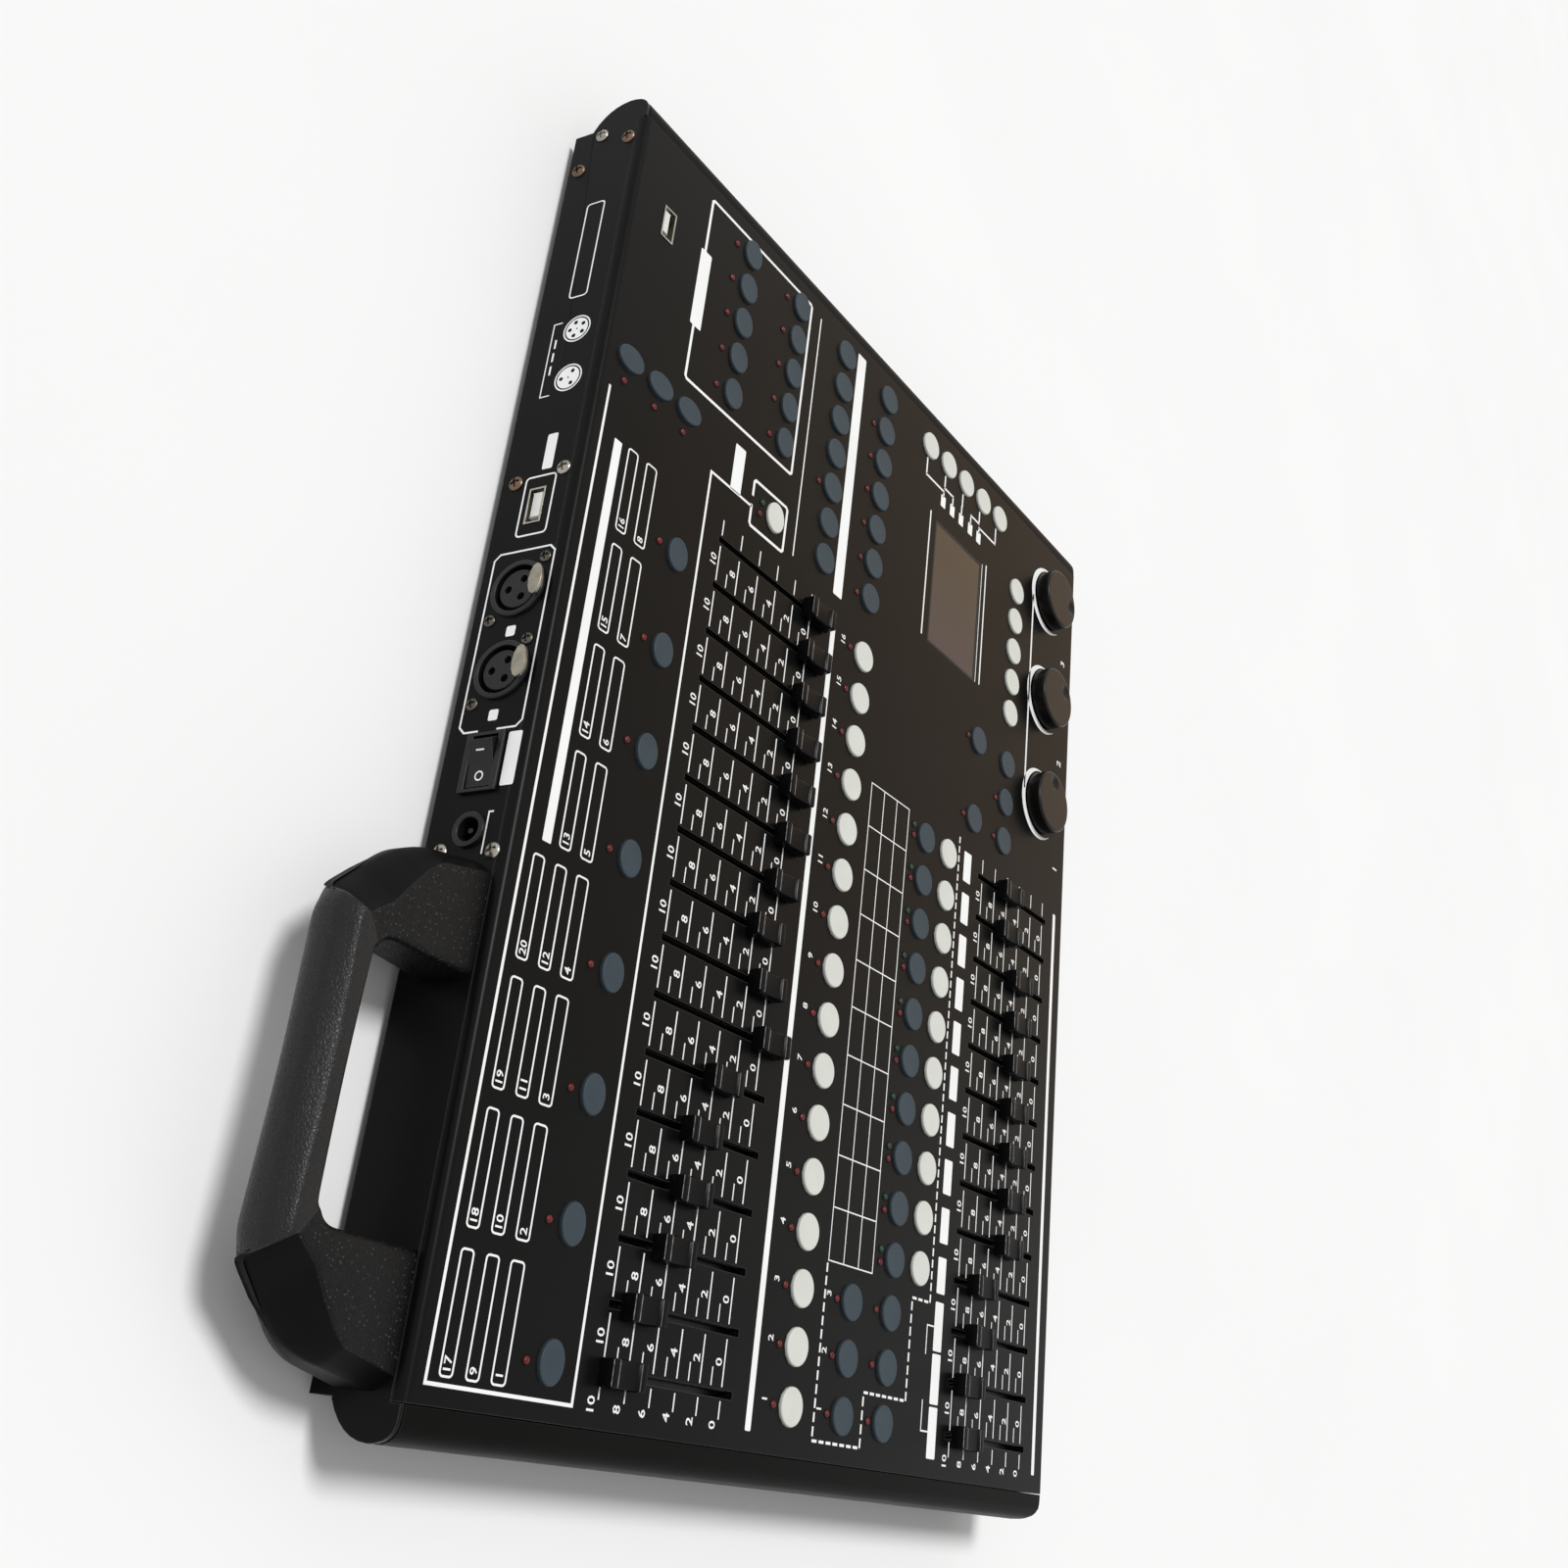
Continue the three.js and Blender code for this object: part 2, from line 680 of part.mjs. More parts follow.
// The sprung metal release tab above each socket.
function latchTab(across) {
  const latchZ = xlrRimRadius - latchDrop;
  const face = new THREE.Shape();
  face.absellipse(0, latchZ, latchWidth / 2, latchHeight / 2, 0, Math.PI * 2, false, 0);
  const geometry = standUp(face, latchProud, curveSteps);
  const faceBack = xlrRimProud + latchTravel + seam;
  geometry.translate(0, faceBack + latchProud, 0);
  const stem = block(
    -latchStemWidth / 2, xlrRimProud - latchStemDepth, latchStemTop - latchStemHeight,
    latchStemWidth / 2, faceBack + latchProud / 2, latchStemTop);
  return join([solidOf(geometry), stem]).translate([across, 0, -socketDrop]);
}

function dcJack() {
  return turnAboutY([
    [0, -jackDepth], [jackBodyRadius, -jackDepth], [jackBodyRadius, seam], [jackRadius, seam],
    [jackRadius, jackProud], [jackBoreRadius, jackProud], [jackBoreRadius, jackProud - jackBoreDepth],
    [jackPinRadius, jackProud - jackBoreDepth], [jackPinRadius, 0], [0, 0],
  ], jackSides).translate([jackAcross, 0, -socketDrop]);
}

function switchBody() {
  const halfWidth = switchWidth / 2;
  const halfHeight = switchHeight / 2;
  const inner = rockerRadius + rockerClearance;
  const innerHeight = halfHeight - 2 * switchBezelWall;
  const bezel = block(-halfWidth, seam, -halfHeight, halfWidth, switchBezelProud, halfHeight);
  const body = block(
    switchBodyWall - halfWidth, -switchBodyDepth, switchBodyWall - halfHeight,
    halfWidth - switchBodyWall, switchBezelProud / 2, halfHeight - switchBodyWall);
  const well = block(
    -inner, -rockerPivotDrop - wellDepth, -innerHeight,
    inner, switchBezelProud + cutOverrun, innerHeight);
  return join([bezel, body]).subtract(well).translate([switchAcross, 0, -socketDrop]);
}

// The rocker at its mid swing, drawn about its own pivot: X across, Y outwards.
function rocker() {
  const top = THREE.MathUtils.degToRad(rockerTopDegrees);
  const foot = THREE.MathUtils.degToRad(rockerFootDegrees);
  const shape = new THREE.Shape();
  shape.moveTo(rockerRadius * Math.cos(top), rockerRadius * Math.sin(top));
  shape.lineTo(0, rockerPivotDrop + rockerValley);
  shape.lineTo(-rockerRadius * Math.cos(top), rockerRadius * Math.sin(top));
  shape.absarc(0, 0, rockerRadius, Math.PI - top, Math.PI + foot, false);
  shape.lineTo(rockerRadius * Math.cos(foot), -rockerRadius * Math.sin(foot));
  shape.absarc(0, 0, rockerRadius, -foot, top, false);
  const halfHeight = switchHeight / 2 - 2 * switchBezelWall - rockerClearance;
  return prism(shape, -halfHeight, halfHeight, curveSteps);
}

// A USB socket: shell, mouth and tongue, its mouth towards +Y.
function usbSocket() {
  const shell = block(-usbWidth / 2, -usbDepth, -usbHeight / 2, usbWidth / 2, usbProud, usbHeight / 2);
  const mouth = block(
    usbWall - usbWidth / 2, usbProud - usbBoreDepth, usbWall - usbHeight / 2,
    usbWidth / 2 - usbWall, usbProud + cutOverrun, usbHeight / 2 - usbWall);
  const tongue = block(
    -usbTongueWidth / 2, -usbBoreDepth - cutOverrun, usbHeight / 2 - usbWall - seam - usbTongueHeight,
    usbTongueWidth / 2, -usbProud, usbHeight / 2 - usbWall - seam);
  return join([shell.subtract(mouth), tongue]);
}

// The moulded bow handle: outline in its own plane, rounded all along its edges. Its underside
// rises from the feet towards the grip, which is the thinner for it.
function carryHandle() {
  const half = handleLength / 2;
  const gap = half - legWidth;
  const gapReach = handleReach - gripThickness;
  const grip = half - gripInset;
  const shape = roundedOutline([
    [gap, seam, 0],
    [half, seam, 0],
    [half - footStep, footRise, footCornerRadius],
    [grip, handleReach, gripCornerRadius],
    [-grip, handleReach, gripCornerRadius],
    [footStep - half, footRise, footCornerRadius],
    [-half, seam, 0],
    [-gap, seam, 0],
    [-gap, gapReach, gapCornerRadius],
    [gap, gapReach, gapCornerRadius],
  ]);
  const geometry = new THREE.ExtrudeGeometry(shape, {
    depth: handleHeight - 2 * handleEdgeRound,
    bevelThickness: handleEdgeRound,
    bevelSize: handleEdgeRound,
    bevelOffset: -handleEdgeRound,
    bevelSegments: edgeSteps,
    curveSegments: bendSteps,
  });
  geometry.translate(acrossAt(handleLeft + half), 0, handleEdgeRound - handleHeight);
  const points = geometry.getAttribute('position');
  for (let index = 0; index < points.count; index += 1) {
    const outShare = Math.max(points.getY(index), 0) / handleReach;
    points.setZ(index, points.getZ(index) * (1 - outShare * (1 - gripHeightShare)));
  }
  geometry.translate(0, 0, -handleTopDrop);
  return solidOf(geometry);
}

// The display: a framed module under the deck whose glass fills the window.
function displayModule() {
  const left = acrossAt(windowLeft);
  const back = alongAt(windowRear);
  const front = alongAt(windowRear + windowDepth);
  const frame = block(
    left - displayBezel, front - displayBezel, matTop - displayThickness,
    left + windowWidth + displayBezel, back + displayBezel, matTop);
  const glass = block(
    left + seam, front + seam, matTop - sheet,
    left + windowWidth - seam, back - seam, panelTop - displayGlassDrop);
  return join([frame, glass]);
}

// The board carries the slide pots, whose cases reach up to the deck, and the wheel encoders.
function mainBoard() {
  const plate = block(
    boardSideInset - panelWidth / 2, boardFrontInset - panelDepth / 2, boardTop - boardThickness,
    panelWidth / 2 - boardSideInset, alongAt(boardRearInset), boardTop);
  const pots = faders.map(({ across, slot }) => block(
    acrossAt(across) - potWidth / 2, alongAt(slot + slotLength + potMargin),
    boardTop - boardThickness / 2,
    acrossAt(across) + potWidth / 2, alongAt(slot - potMargin), matTop));
  const potSlots = faders.map(({ across, slot }) => block(
    acrossAt(across) - potSlotWidth / 2, alongAt(slot + slotLength), panelUnder - stemDepth - seam,
    acrossAt(across) + potSlotWidth / 2, alongAt(slot), panelUnder + cutOverrun));
  const encoders = wheelPlaces().map(([x, f]) => block(
    acrossAt(x) - encoderWidth / 2, alongAt(f) - encoderWidth / 2, boardTop - boardThickness / 2,
    acrossAt(x) + encoderWidth / 2, alongAt(f) + encoderWidth / 2, panelUnder - wheelShaftDepth - seam));
  return join([plate, ...pots, ...encoders]).subtract(join(potSlots));
}

// A fader cap with its stem, drawn about the stem's axis at deck height.
function faderCap() {
  const half = capLength / 2;
  const top = capLift + capHeight;
  const crestEdge = half - capEndDraft - capCrestLength;
  const shape = new THREE.Shape();
  shape.moveTo(-half, capLift);
  shape.lineTo(half, capLift);
  shape.lineTo(half - capEndDraft, top);
  shape.lineTo(crestEdge, top);
  shape.lineTo(crestEdge - capSaddleRun, top - capSaddleDrop);
  shape.lineTo(capSaddleRun - crestEdge, top - capSaddleDrop);
  shape.lineTo(-crestEdge, top);
  shape.lineTo(capEndDraft - half, top);
  shape.closePath();
  const cap = carryAcross(shape, capWidth, 1);
  const stem = block(
    -stemThickness / 2, -stemLength / 2, -sheet - stemDepth,
    stemThickness / 2, stemLength / 2, capLift + capHeight / 2);
  return join([cap, stem]);
}

// A jog wheel with its shaft and a finger dimple, drawn about its axis at deck height.
function jogWheel(dimpleAngle) {
  const top = wheelLift + wheelHeight;
  const foot = -sheet - wheelShaftDepth;
  const points = [
    [0, foot], [wheelShaftRadius, foot], [wheelShaftRadius, wheelLift], [wheelRadius, wheelLift],
    [wheelRadius, top - wheelEdgeRound], [wheelRadius - wheelEdgeRound, top], [0, top],
  ].map(([radius, height]) => new THREE.Vector2(radius, height));
  const turned = new THREE.LatheGeometry(points, wheelSides);
  turned.rotateX(Math.PI / 2);
  const ball = new THREE.SphereGeometry(dimpleRadius, dimpleSides, dimpleRings);
  ball.translate(
    dimpleOrbit * Math.cos(dimpleAngle), dimpleOrbit * Math.sin(dimpleAngle),
    top + dimpleRadius - dimpleDepth);
  return solidOf(turned).subtract(solidOf(ball));
}

addMesh(group, 'top_panel', topPanel(), steelBlack);
addMesh(group, 'bottom_tray', bottomTray(), steelBlack);
addMesh(rear, 'rear_panel', rearPlate(), steelBlack);
addMesh(group, 'side_rail_left', sideRail(-1), plasticBlack);
addMesh(group, 'side_rail_right', sideRail(1), plasticBlack);
addMesh(rear, 'carry_handle', carryHandle(), grainBlack);
addMesh(group, 'main_board', mainBoard(), boardGreen);
addMesh(group, 'lcd_module', displayModule(), displayGlass);
for (const [name, across] of Object.entries(socketAcross)) {
  addMesh(rear, name, xlrSocket(across), plasticBlack);
  addMesh(rear, name.replace('xlr_socket', 'latch_tab'), latchTab(across), nickel);
}
addMesh(rear, 'dc_jack', dcJack(), plasticBlack);
addMesh(rear, 'power_switch_body', switchBody(), plasticBlack);
const powerRocker = addMesh(rear, 'power_rocker', rocker(), plasticBlack);
powerRocker.position.set(switchAcross, -rockerPivotDrop, -socketDrop);
powerRocker.rotation.z = THREE.MathUtils.degToRad(rockerSwingDegrees);
const dataSocket = addMesh(rear, 'usb_data_socket', usbSocket(), nickel);
dataSocket.position.set(usbAcross, 0, -socketDrop);
const lampSocket = addMesh(group, 'usb_lamp_socket', usbSocket(), nickel);
lampSocket.rotation.x = Math.PI / 2;
lampSocket.position.set(lampAcross(), alongAt(lampRow), panelTop);

const whiteMats = ['level_key', 'fixture_keys', 'display_keys', 'playback_white_keys'];
for (const name of Object.keys(keyPlaces)) {
  addMesh(group, name, keyMat(name), whiteMats.includes(name) ? whiteRubber : slateRubber);
}

const capSolid = faderCap();
for (const { name, across, rest } of faders) {
  const cap = addMesh(group, name, capSolid, plasticBlack);
  cap.position.set(acrossAt(across), alongAt(rest), panelTop);
}

wheelPlaces().forEach(([x, f], index) => {
  const dimpleAngle = dimpleTurnShares[index] * Math.PI * 2;
  const wheel = addMesh(group, `jog_wheel_${index + 1}`, jogWheel(dimpleAngle), plasticBlack);
  wheel.position.set(acrossAt(x), alongAt(f), panelTop);
});

// The origin is under the middle of the whole object, at the height it stands on.
group.updateMatrixWorld(true);
const reach = new THREE.Box3().setFromObject(group, true);
group.position.set(-(reach.min.x + reach.max.x) / 2, -(reach.min.y + reach.max.y) / 2, 0);

export default group;
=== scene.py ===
"""A desk lighting controller: black folded-steel console with rounded side rails and a moulded
carry handle, rows of faders, rubber keys, a display, three jog wheels and rear sockets."""

import bmesh
import bpy
import numpy as np
from mathutils import Matrix, Vector


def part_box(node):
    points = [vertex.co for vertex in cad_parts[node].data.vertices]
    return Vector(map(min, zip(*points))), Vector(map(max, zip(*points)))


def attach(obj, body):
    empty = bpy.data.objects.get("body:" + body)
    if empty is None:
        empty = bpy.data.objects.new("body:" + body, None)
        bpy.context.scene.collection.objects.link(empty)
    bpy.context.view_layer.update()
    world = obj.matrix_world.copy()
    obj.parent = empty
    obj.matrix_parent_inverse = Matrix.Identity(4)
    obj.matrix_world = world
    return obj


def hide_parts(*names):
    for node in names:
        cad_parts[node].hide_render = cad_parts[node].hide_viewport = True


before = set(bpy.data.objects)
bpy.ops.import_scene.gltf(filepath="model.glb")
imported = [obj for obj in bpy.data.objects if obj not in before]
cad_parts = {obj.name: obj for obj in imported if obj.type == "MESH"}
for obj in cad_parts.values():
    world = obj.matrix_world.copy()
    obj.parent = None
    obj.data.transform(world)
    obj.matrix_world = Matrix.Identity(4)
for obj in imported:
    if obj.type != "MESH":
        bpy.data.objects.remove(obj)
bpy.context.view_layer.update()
MM = 0.001

# Camera. It stands above the rear left corner, rolled so that the deck runs down the picture, and
# its place is measured from the deck's own rear left corner.
DECK_DEPTH = 370.0
deck_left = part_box("top_panel")[0].x
deck_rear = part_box("top_panel")[0].y + DECK_DEPTH * MM
deck_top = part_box("top_panel")[1].z
CAMERA_LEFT, CAMERA_BEHIND, CAMERA_OVER = 11.2, 309.4, 346.2

camera_data = bpy.data.cameras.new("camera")
camera_data.sensor_width = 36.0
camera_data.lens = 36.45
camera = bpy.data.objects.new("camera", camera_data)
camera_right = Vector((0.10537, -0.57569, 0.81085))
camera_up = Vector((0.90802, 0.38824, 0.15759))
camera_back = camera_right.cross(camera_up)
camera_turn = Matrix((camera_right, camera_up, camera_back)).transposed().to_4x4()
camera_place = Vector((deck_left - CAMERA_LEFT * MM, deck_rear + CAMERA_BEHIND * MM,
                       deck_top + CAMERA_OVER * MM))
camera.matrix_world = Matrix.Translation(camera_place) @ camera_turn
bpy.context.collection.objects.link(camera)
bpy.context.scene.camera = camera


# Top panel. One sheet of folded steel, 1.5 mm thick, powder-coated matt black: rear bend, deck and
# front skirt, punched for the keys and faders. It is screwed down over the rails and the rear
# panel.
def wire(tree, kind, sockets, **settings):
    """Adds one shader node. Its settings come first; then each socket, by name or number, takes
    either a fixed value or another node's outlet."""
    node = tree.nodes.new(kind)
    for setting, value in settings.items():
        setattr(node, setting, value)
    for socket, value in sockets.items():
        if isinstance(value, bpy.types.NodeSocket):
            tree.links.new(value, node.inputs[socket])
        else:
            node.inputs[socket].default_value = value
    return node


# the grey that edges are painted towards: partly worn-bare edges, partly a painted highlight
EDGE_WEAR_AND_HIGHLIGHT_GREY = (0.11, 0.11, 0.11, 1)
EDGE_LIGHTENING_WIDTH = 0.5


def coated(name, colour, roughness, grain_mm, grain_depth, cloud_mm, specular=0.5, metallic=0.0,
           tint_share=0.25, edge_wear_and_highlight=0.0, coat=0.0):
    """A finish whose colour and roughness drift in soft clouds, with a fine grain as bump, and
    edges painted a little lighter where the edge share is over zero: partly worn-bare edges,
    partly a painted highlight."""
    material = bpy.data.materials.new(name)
    material.use_nodes = True
    tree = material.node_tree
    shader = tree.nodes["Principled BSDF"]
    place = tree.nodes.new("ShaderNodeTexCoord").outputs["Object"]
    cloud = wire(tree, "ShaderNodeTexNoise",
                 {"Vector": place, "Scale": 1 / (cloud_mm * MM), "Detail": 5}).outputs["Fac"]
    colours = wire(tree, "ShaderNodeValToRGB", {"Fac": cloud})
    darker, lighter = colours.color_ramp.elements
    darker.position, lighter.position = 0.3, 0.7
    darker.color = (*[c * (1 - tint_share) for c in colour], 1)
    lighter.color = (*[min(1, c * (1 + tint_share)) for c in colour], 1)
    skin = colours.outputs["Color"]
    # edges are painted lighter here: partly worn bare, partly a painted highlight along them
    if edge_wear_and_highlight > 0:
        eased = wire(tree, "ShaderNodeBevel", {"Radius": EDGE_LIGHTENING_WIDTH * MM}, samples=4)
        flat = tree.nodes.new("ShaderNodeNewGeometry")
        along = wire(tree, "ShaderNodeVectorMath", {
            0: eased.outputs["Normal"], 1: flat.outputs["Normal"]}, operation="DOT_PRODUCT")
        edge = wire(tree, "ShaderNodeMapRange", {
            "From Min": 0.97, "From Max": 0.8, "To Max": edge_wear_and_highlight, "Value": along.outputs["Value"]})
        lightened_edges = wire(tree, "ShaderNodeMix", {
            "Factor": edge.outputs["Result"], "A": skin, "B": EDGE_WEAR_AND_HIGHLIGHT_GREY}, data_type="RGBA")
        skin = lightened_edges.outputs["Result"]
    tree.links.new(skin, shader.inputs["Base Color"])
    gloss = wire(tree, "ShaderNodeMapRange", {
        "To Min": roughness * 0.85, "To Max": min(1, roughness * 1.15), "Value": cloud})
    tree.links.new(gloss.outputs["Result"], shader.inputs["Roughness"])
    grain = wire(tree, "ShaderNodeTexNoise", {
        "Vector": place, "Scale": 1 / (grain_mm * MM), "Detail": 3})
    bump = wire(tree, "ShaderNodeBump", {
        "Strength": grain_depth, "Distance": grain_mm * MM * 0.25, "Height": grain.outputs["Fac"]})
    tree.links.new(bump.outputs["Normal"], shader.inputs["Normal"])
    shader.inputs["Metallic"].default_value = metallic
    shader.inputs["Specular IOR Level"].default_value = specular
    shader.inputs["Coat Weight"].default_value = coat
    shader.inputs["Coat Roughness"].default_value = 0.15
    return material


SHARP_TURN, EASED_TURN = 35, 40


def merged_skin(node):
    """A merged copy of a CAD node's mesh; edges that turn more than SHARP_TURN stay sharp."""
    source = bmesh.new()
    source.from_mesh(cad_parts[node].data)
    bmesh.ops.remove_doubles(source, verts=source.verts, dist=1e-6)
    bmesh.ops.dissolve_limit(source, angle_limit=0.002, verts=source.verts, edges=source.edges,
                             use_dissolve_boundaries=False)
    for face in source.faces:
        face.smooth = True
    for edge in source.edges:
        edge.smooth = bool(edge.calc_face_angle(np.pi) < np.radians(SHARP_TURN))
    mesh = bpy.data.meshes.new(node + "_skin")
    source.to_mesh(mesh)
    source.free()
    return mesh


def settled(node, piece_name, material, body, bevel_mm=0.0):
    """The node's own mesh, joined into one skin, with smooth bends and eased sharp edges."""
    mesh = merged_skin(node)
    mesh.materials.append(material)
    piece = bpy.data.objects.new(piece_name, mesh)
    bpy.context.collection.objects.link(piece)
    if bevel_mm > 0:
        ease = piece.modifiers.new("eased_edges", "BEVEL")
        ease.width = bevel_mm * MM
        ease.segments = 2
        ease.limit_method = "ANGLE"
        ease.angle_limit = np.radians(EASED_TURN)
        ease.harden_normals = True
    else:
        even = piece.modifiers.new("even_shading", "WEIGHTED_NORMAL")
        even.keep_sharp = True
    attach(piece, body)
    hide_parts(node)
    return piece


steel_black = coated("powder_coated_steel", (0.0032, 0.0034, 0.0033), 0.3, 0.35, 0.12, 60,
                     specular=0.08, edge_wear_and_highlight=0.5)
settled("top_panel", "deck_sheet", steel_black, "console")


# Deck print. White screen print on the powder coat: outlines, rules, scale ticks and plain numbers.
# It is a skin of ink a few hundredths of a millimetre over the steel.
def mesh_of(name, points, quads, caps=()):
    """Welds equal points and drops the collapsed sides of four-sided faces, then adds any caps."""
    keys = np.round(points * 1e8).astype(np.int64)
    _, first, inverse = np.unique(keys, axis=0, return_index=True, return_inverse=True)
    inverse = inverse.ravel()
    corners = inverse[quads]
    keep = corners != np.roll(corners, -1, axis=1)
    live = keep.sum(1) > 2
    corners, keep = corners[live], keep[live]
    caps = [inverse[np.asarray(cap)] for cap in caps]
    loops = np.concatenate([corners[keep], *caps])
    counts = np.concatenate([keep.sum(1), [len(cap) for cap in caps]]).astype(int)
    mesh = bpy.data.meshes.new(name)
    mesh.vertices.add(len(first))
    mesh.vertices.foreach_set("co", points[first].astype(np.float32).ravel())
    mesh.loops.add(len(loops))
    mesh.loops.foreach_set("vertex_index", loops.astype(np.int32))
    mesh.polygons.add(len(counts))
    mesh.polygons.foreach_set("loop_start", (np.cumsum(counts) - counts).astype(np.int32))
    mesh.update(calc_edges=True)
    mesh.validate()
    return mesh


def add_piece(name, mesh, materials, body, nodes=(), sharp_degrees=SHARP_TURN):
    """Puts a finished mesh on its body, smooth but for its sharp edges."""
    for material in materials:
        mesh.materials.append(material)
    mesh.polygons.foreach_set("use_smooth", np.ones(len(mesh.polygons), bool))
    mesh.set_sharp_from_angle(angle=np.radians(sharp_degrees))
    piece = bpy.data.objects.new(name, mesh)
    bpy.context.collection.objects.link(piece)
    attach(piece, body)
    if nodes:
        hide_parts(*nodes)
    return piece


def on_deck(places, lift=0.0):
    """Panel places, in millimetres from the rear left corner, as points on the deck in metres."""
    places = np.asarray(places, float)
    return np.stack([deck_left + places[:, 0] * MM, deck_rear - places[:, 1] * MM,
                     np.full(len(places), deck_top + lift * MM)], -1)


def ribbon(path, width, closed=False):
    """A line of even width: each point moves along its mitre to either side, a quad per step."""
    path = np.asarray(path, float)
    ahead = np.roll(path, -1, axis=0) - path
    if not closed:
        ahead[-1] = ahead[-2]
    ahead /= np.linalg.norm(ahead, axis=1, keepdims=True)
    behind = np.roll(ahead, 1, axis=0)
    if not closed:
        behind[0] = ahead[0]
    mitre = ahead + behind
    mitre /= np.linalg.norm(mitre, axis=1, keepdims=True)
    side = np.stack([-mitre[:, 1], mitre[:, 0]], -1)
    straight = np.stack([-ahead[:, 1], ahead[:, 0]], -1)
    reach = (np.asarray(width) / 2 / np.clip((side * straight).sum(1), 0.4, 1))[:, None]
    points = np.concatenate([path - side * reach, path + side * reach])
    i = np.arange(len(path) if closed else len(path) - 1)
    j = (i + 1) % len(path)
    return points, np.stack([i, i + len(path), j + len(path), j], -1)


def soft_box(x0, f0, x1, f1, radius):
    """A rectangle whose corners are quarter circles of five points, as a closed path."""
    turns = np.linspace(0, np.pi / 2, 5)
    arcs = []
    for cx, cf, start in ((x1 - radius, f0 + radius, -np.pi / 2), (x1 - radius, f1 - radius, 0),
                          (x0 + radius, f1 - radius, np.pi / 2), (x0 + radius, f0 + radius, np.pi)):
        arcs.append(np.stack([cx + radius * np.cos(start + turns),
                              cf + radius * np.sin(start + turns)], -1))
    return np.concatenate(arcs)


FIGURE_WIDTH, FIGURE_BOLDNESS, PRINT_LIFT = 1.2, 0.014, 0.03
figure_shapes = {}


def figure_shape(text):
    """The plain figure as flat triangles one unit high, centred, taken from the built-in face."""
    if text not in figure_shapes:
        curve = bpy.data.curves.new("figure", "FONT")
        curve.body = text
        curve.resolution_u = 2
        curve.offset = FIGURE_BOLDNESS
        curve.align_x, curve.align_y = "CENTER", "CENTER"
        holder = bpy.data.objects.new("figure", curve)
        bpy.context.collection.objects.link(holder)
        bpy.context.view_layer.update()
        mesh = holder.to_mesh()
        mesh.calc_loop_triangles()
        points = np.empty(len(mesh.vertices) * 3)
        mesh.vertices.foreach_get("co", points)
        corners = np.empty(len(mesh.loop_triangles) * 3, np.int32)
        mesh.loop_triangles.foreach_get("vertices", corners)
        holder.to_mesh_clear()
        bpy.data.objects.remove(holder)
        points = points.reshape(-1, 3)[:, :2]
        points -= (points.min(0) + points.max(0)) / 2
        figure_shapes[text] = points / np.ptp(points[:, 1]), corners.reshape(-1, 3)
    return figure_shapes[text]


class Ink:
    """Flat print gathered face by face, then laid on a surface as one piece."""

    def __init__(self):
        self.points, self.quads, self.caps, self.count = [], [], [], 0

    def add(self, points, quads=None, cap=False):
        """Takes in points with their four-sided faces, or as one face with many corners."""
        if quads is not None:
            self.quads.append(np.asarray(quads) + self.count)
        if cap:
            self.caps.append(np.arange(len(points)) + self.count)
        self.points.append(points)
        self.count += len(points)

    def line(self, path, width, closed=False):
        """A ribbon along a path."""
        self.add(*ribbon(path, width, closed))

    def filled(self, path):
        """A solid shape inside a closed path."""
        self.add(np.asarray(path, float), cap=True)

    def number(self, text, x, f, height):
        """A plain figure centred on a place: x + width height u, f - height v."""
        points, triangles = figure_shape(text)
        laid = np.stack([x + FIGURE_WIDTH * height * points[:, 0], f - height * points[:, 1]], -1)
        self.add(laid, np.concatenate([triangles, triangles[:, 2:]], 1))

    def mesh(self, name, place):
        """All the print as one mesh, each flat point sent to its place on the surface."""
        points = place(np.concatenate(self.points))
        return mesh_of(name, points, np.concatenate(self.quads), self.caps)


ink = coated("screen_print", (0.9, 0.91, 0.9), 0.55, 0.3, 0.05, 30, tint_share=0.04)
deck_ink = Ink()
FIRST_COLUMN, FADER_PITCH, FIXTURES, PLAYBACKS = 16.4, 20.0, 16, 13
columns = FIRST_COLUMN + FADER_PITCH * np.arange(FIXTURES)
FRAME_LINE, BLOCK_LINE, BOX_LINE, GRID_LINE, TAG_CORNER = 1.1, 1.3, 0.65, 0.5, 0.6

# the attribute block: its frame, a solid bar, and one long box with a number for each parameter
ATTRIBUTE_PITCH, BOX_LEFT, BOX_LENGTH, BOX_CORNER, BOX_FIGURE = 40.1, 8.0, 34, 1.2, 2.9
ONE_FIGURE_IN, TWO_FIGURES_IN = 2.6, 3.6
deck_ink.line([(341, 91.5), (341, 65.5), (5.7, 65.5), (5.7, 6.4), (340.5, 6.4)], FRAME_LINE)
deck_ink.filled(soft_box(167.5, 13.2, 322, 17.2, 0.4))
for column in range(8):
    left = BOX_LEFT + ATTRIBUTE_PITCH * column
    boxes = [(31, 36.5, 1 + column), (21, 26, 9 + column)]
    if column < 4:
        boxes.append((11, 15.8, 17 + column))
    for rear, front, number in boxes:
        box = soft_box(left, rear, left + BOX_LENGTH, front, BOX_CORNER)
        deck_ink.line(box, BOX_LINE, closed=True)
        inward = ONE_FIGURE_IN if number < 10 else TWO_FIGURES_IN
        deck_ink.number(str(number), left + inward, (rear + front) / 2, BOX_FIGURE)

# each fader's scale: long ticks across the gap, short ones between, figures 10 to 0
FIXTURE_SCALE_REAR, PLAYBACK_SCALE_REAR, FIRST_TICK, TICK_STEP = 73.0, 284.5, 3.75, 12.0
SLOT_GAP, TICK_LINE, HALF_TICK, HALF_TICK_LINE = 2.2, 0.62, 5.8, 0.55
SCALE_FIGURE, FIGURE_REARWARD, FIGURE_INWARD, TEN_INWARD = 3.4, 3.1, 7.6, 7.0
TICK_REACH, FIRST_TICK_REACH, LAST_TICK_REACH = 17.4, 7.9, 9


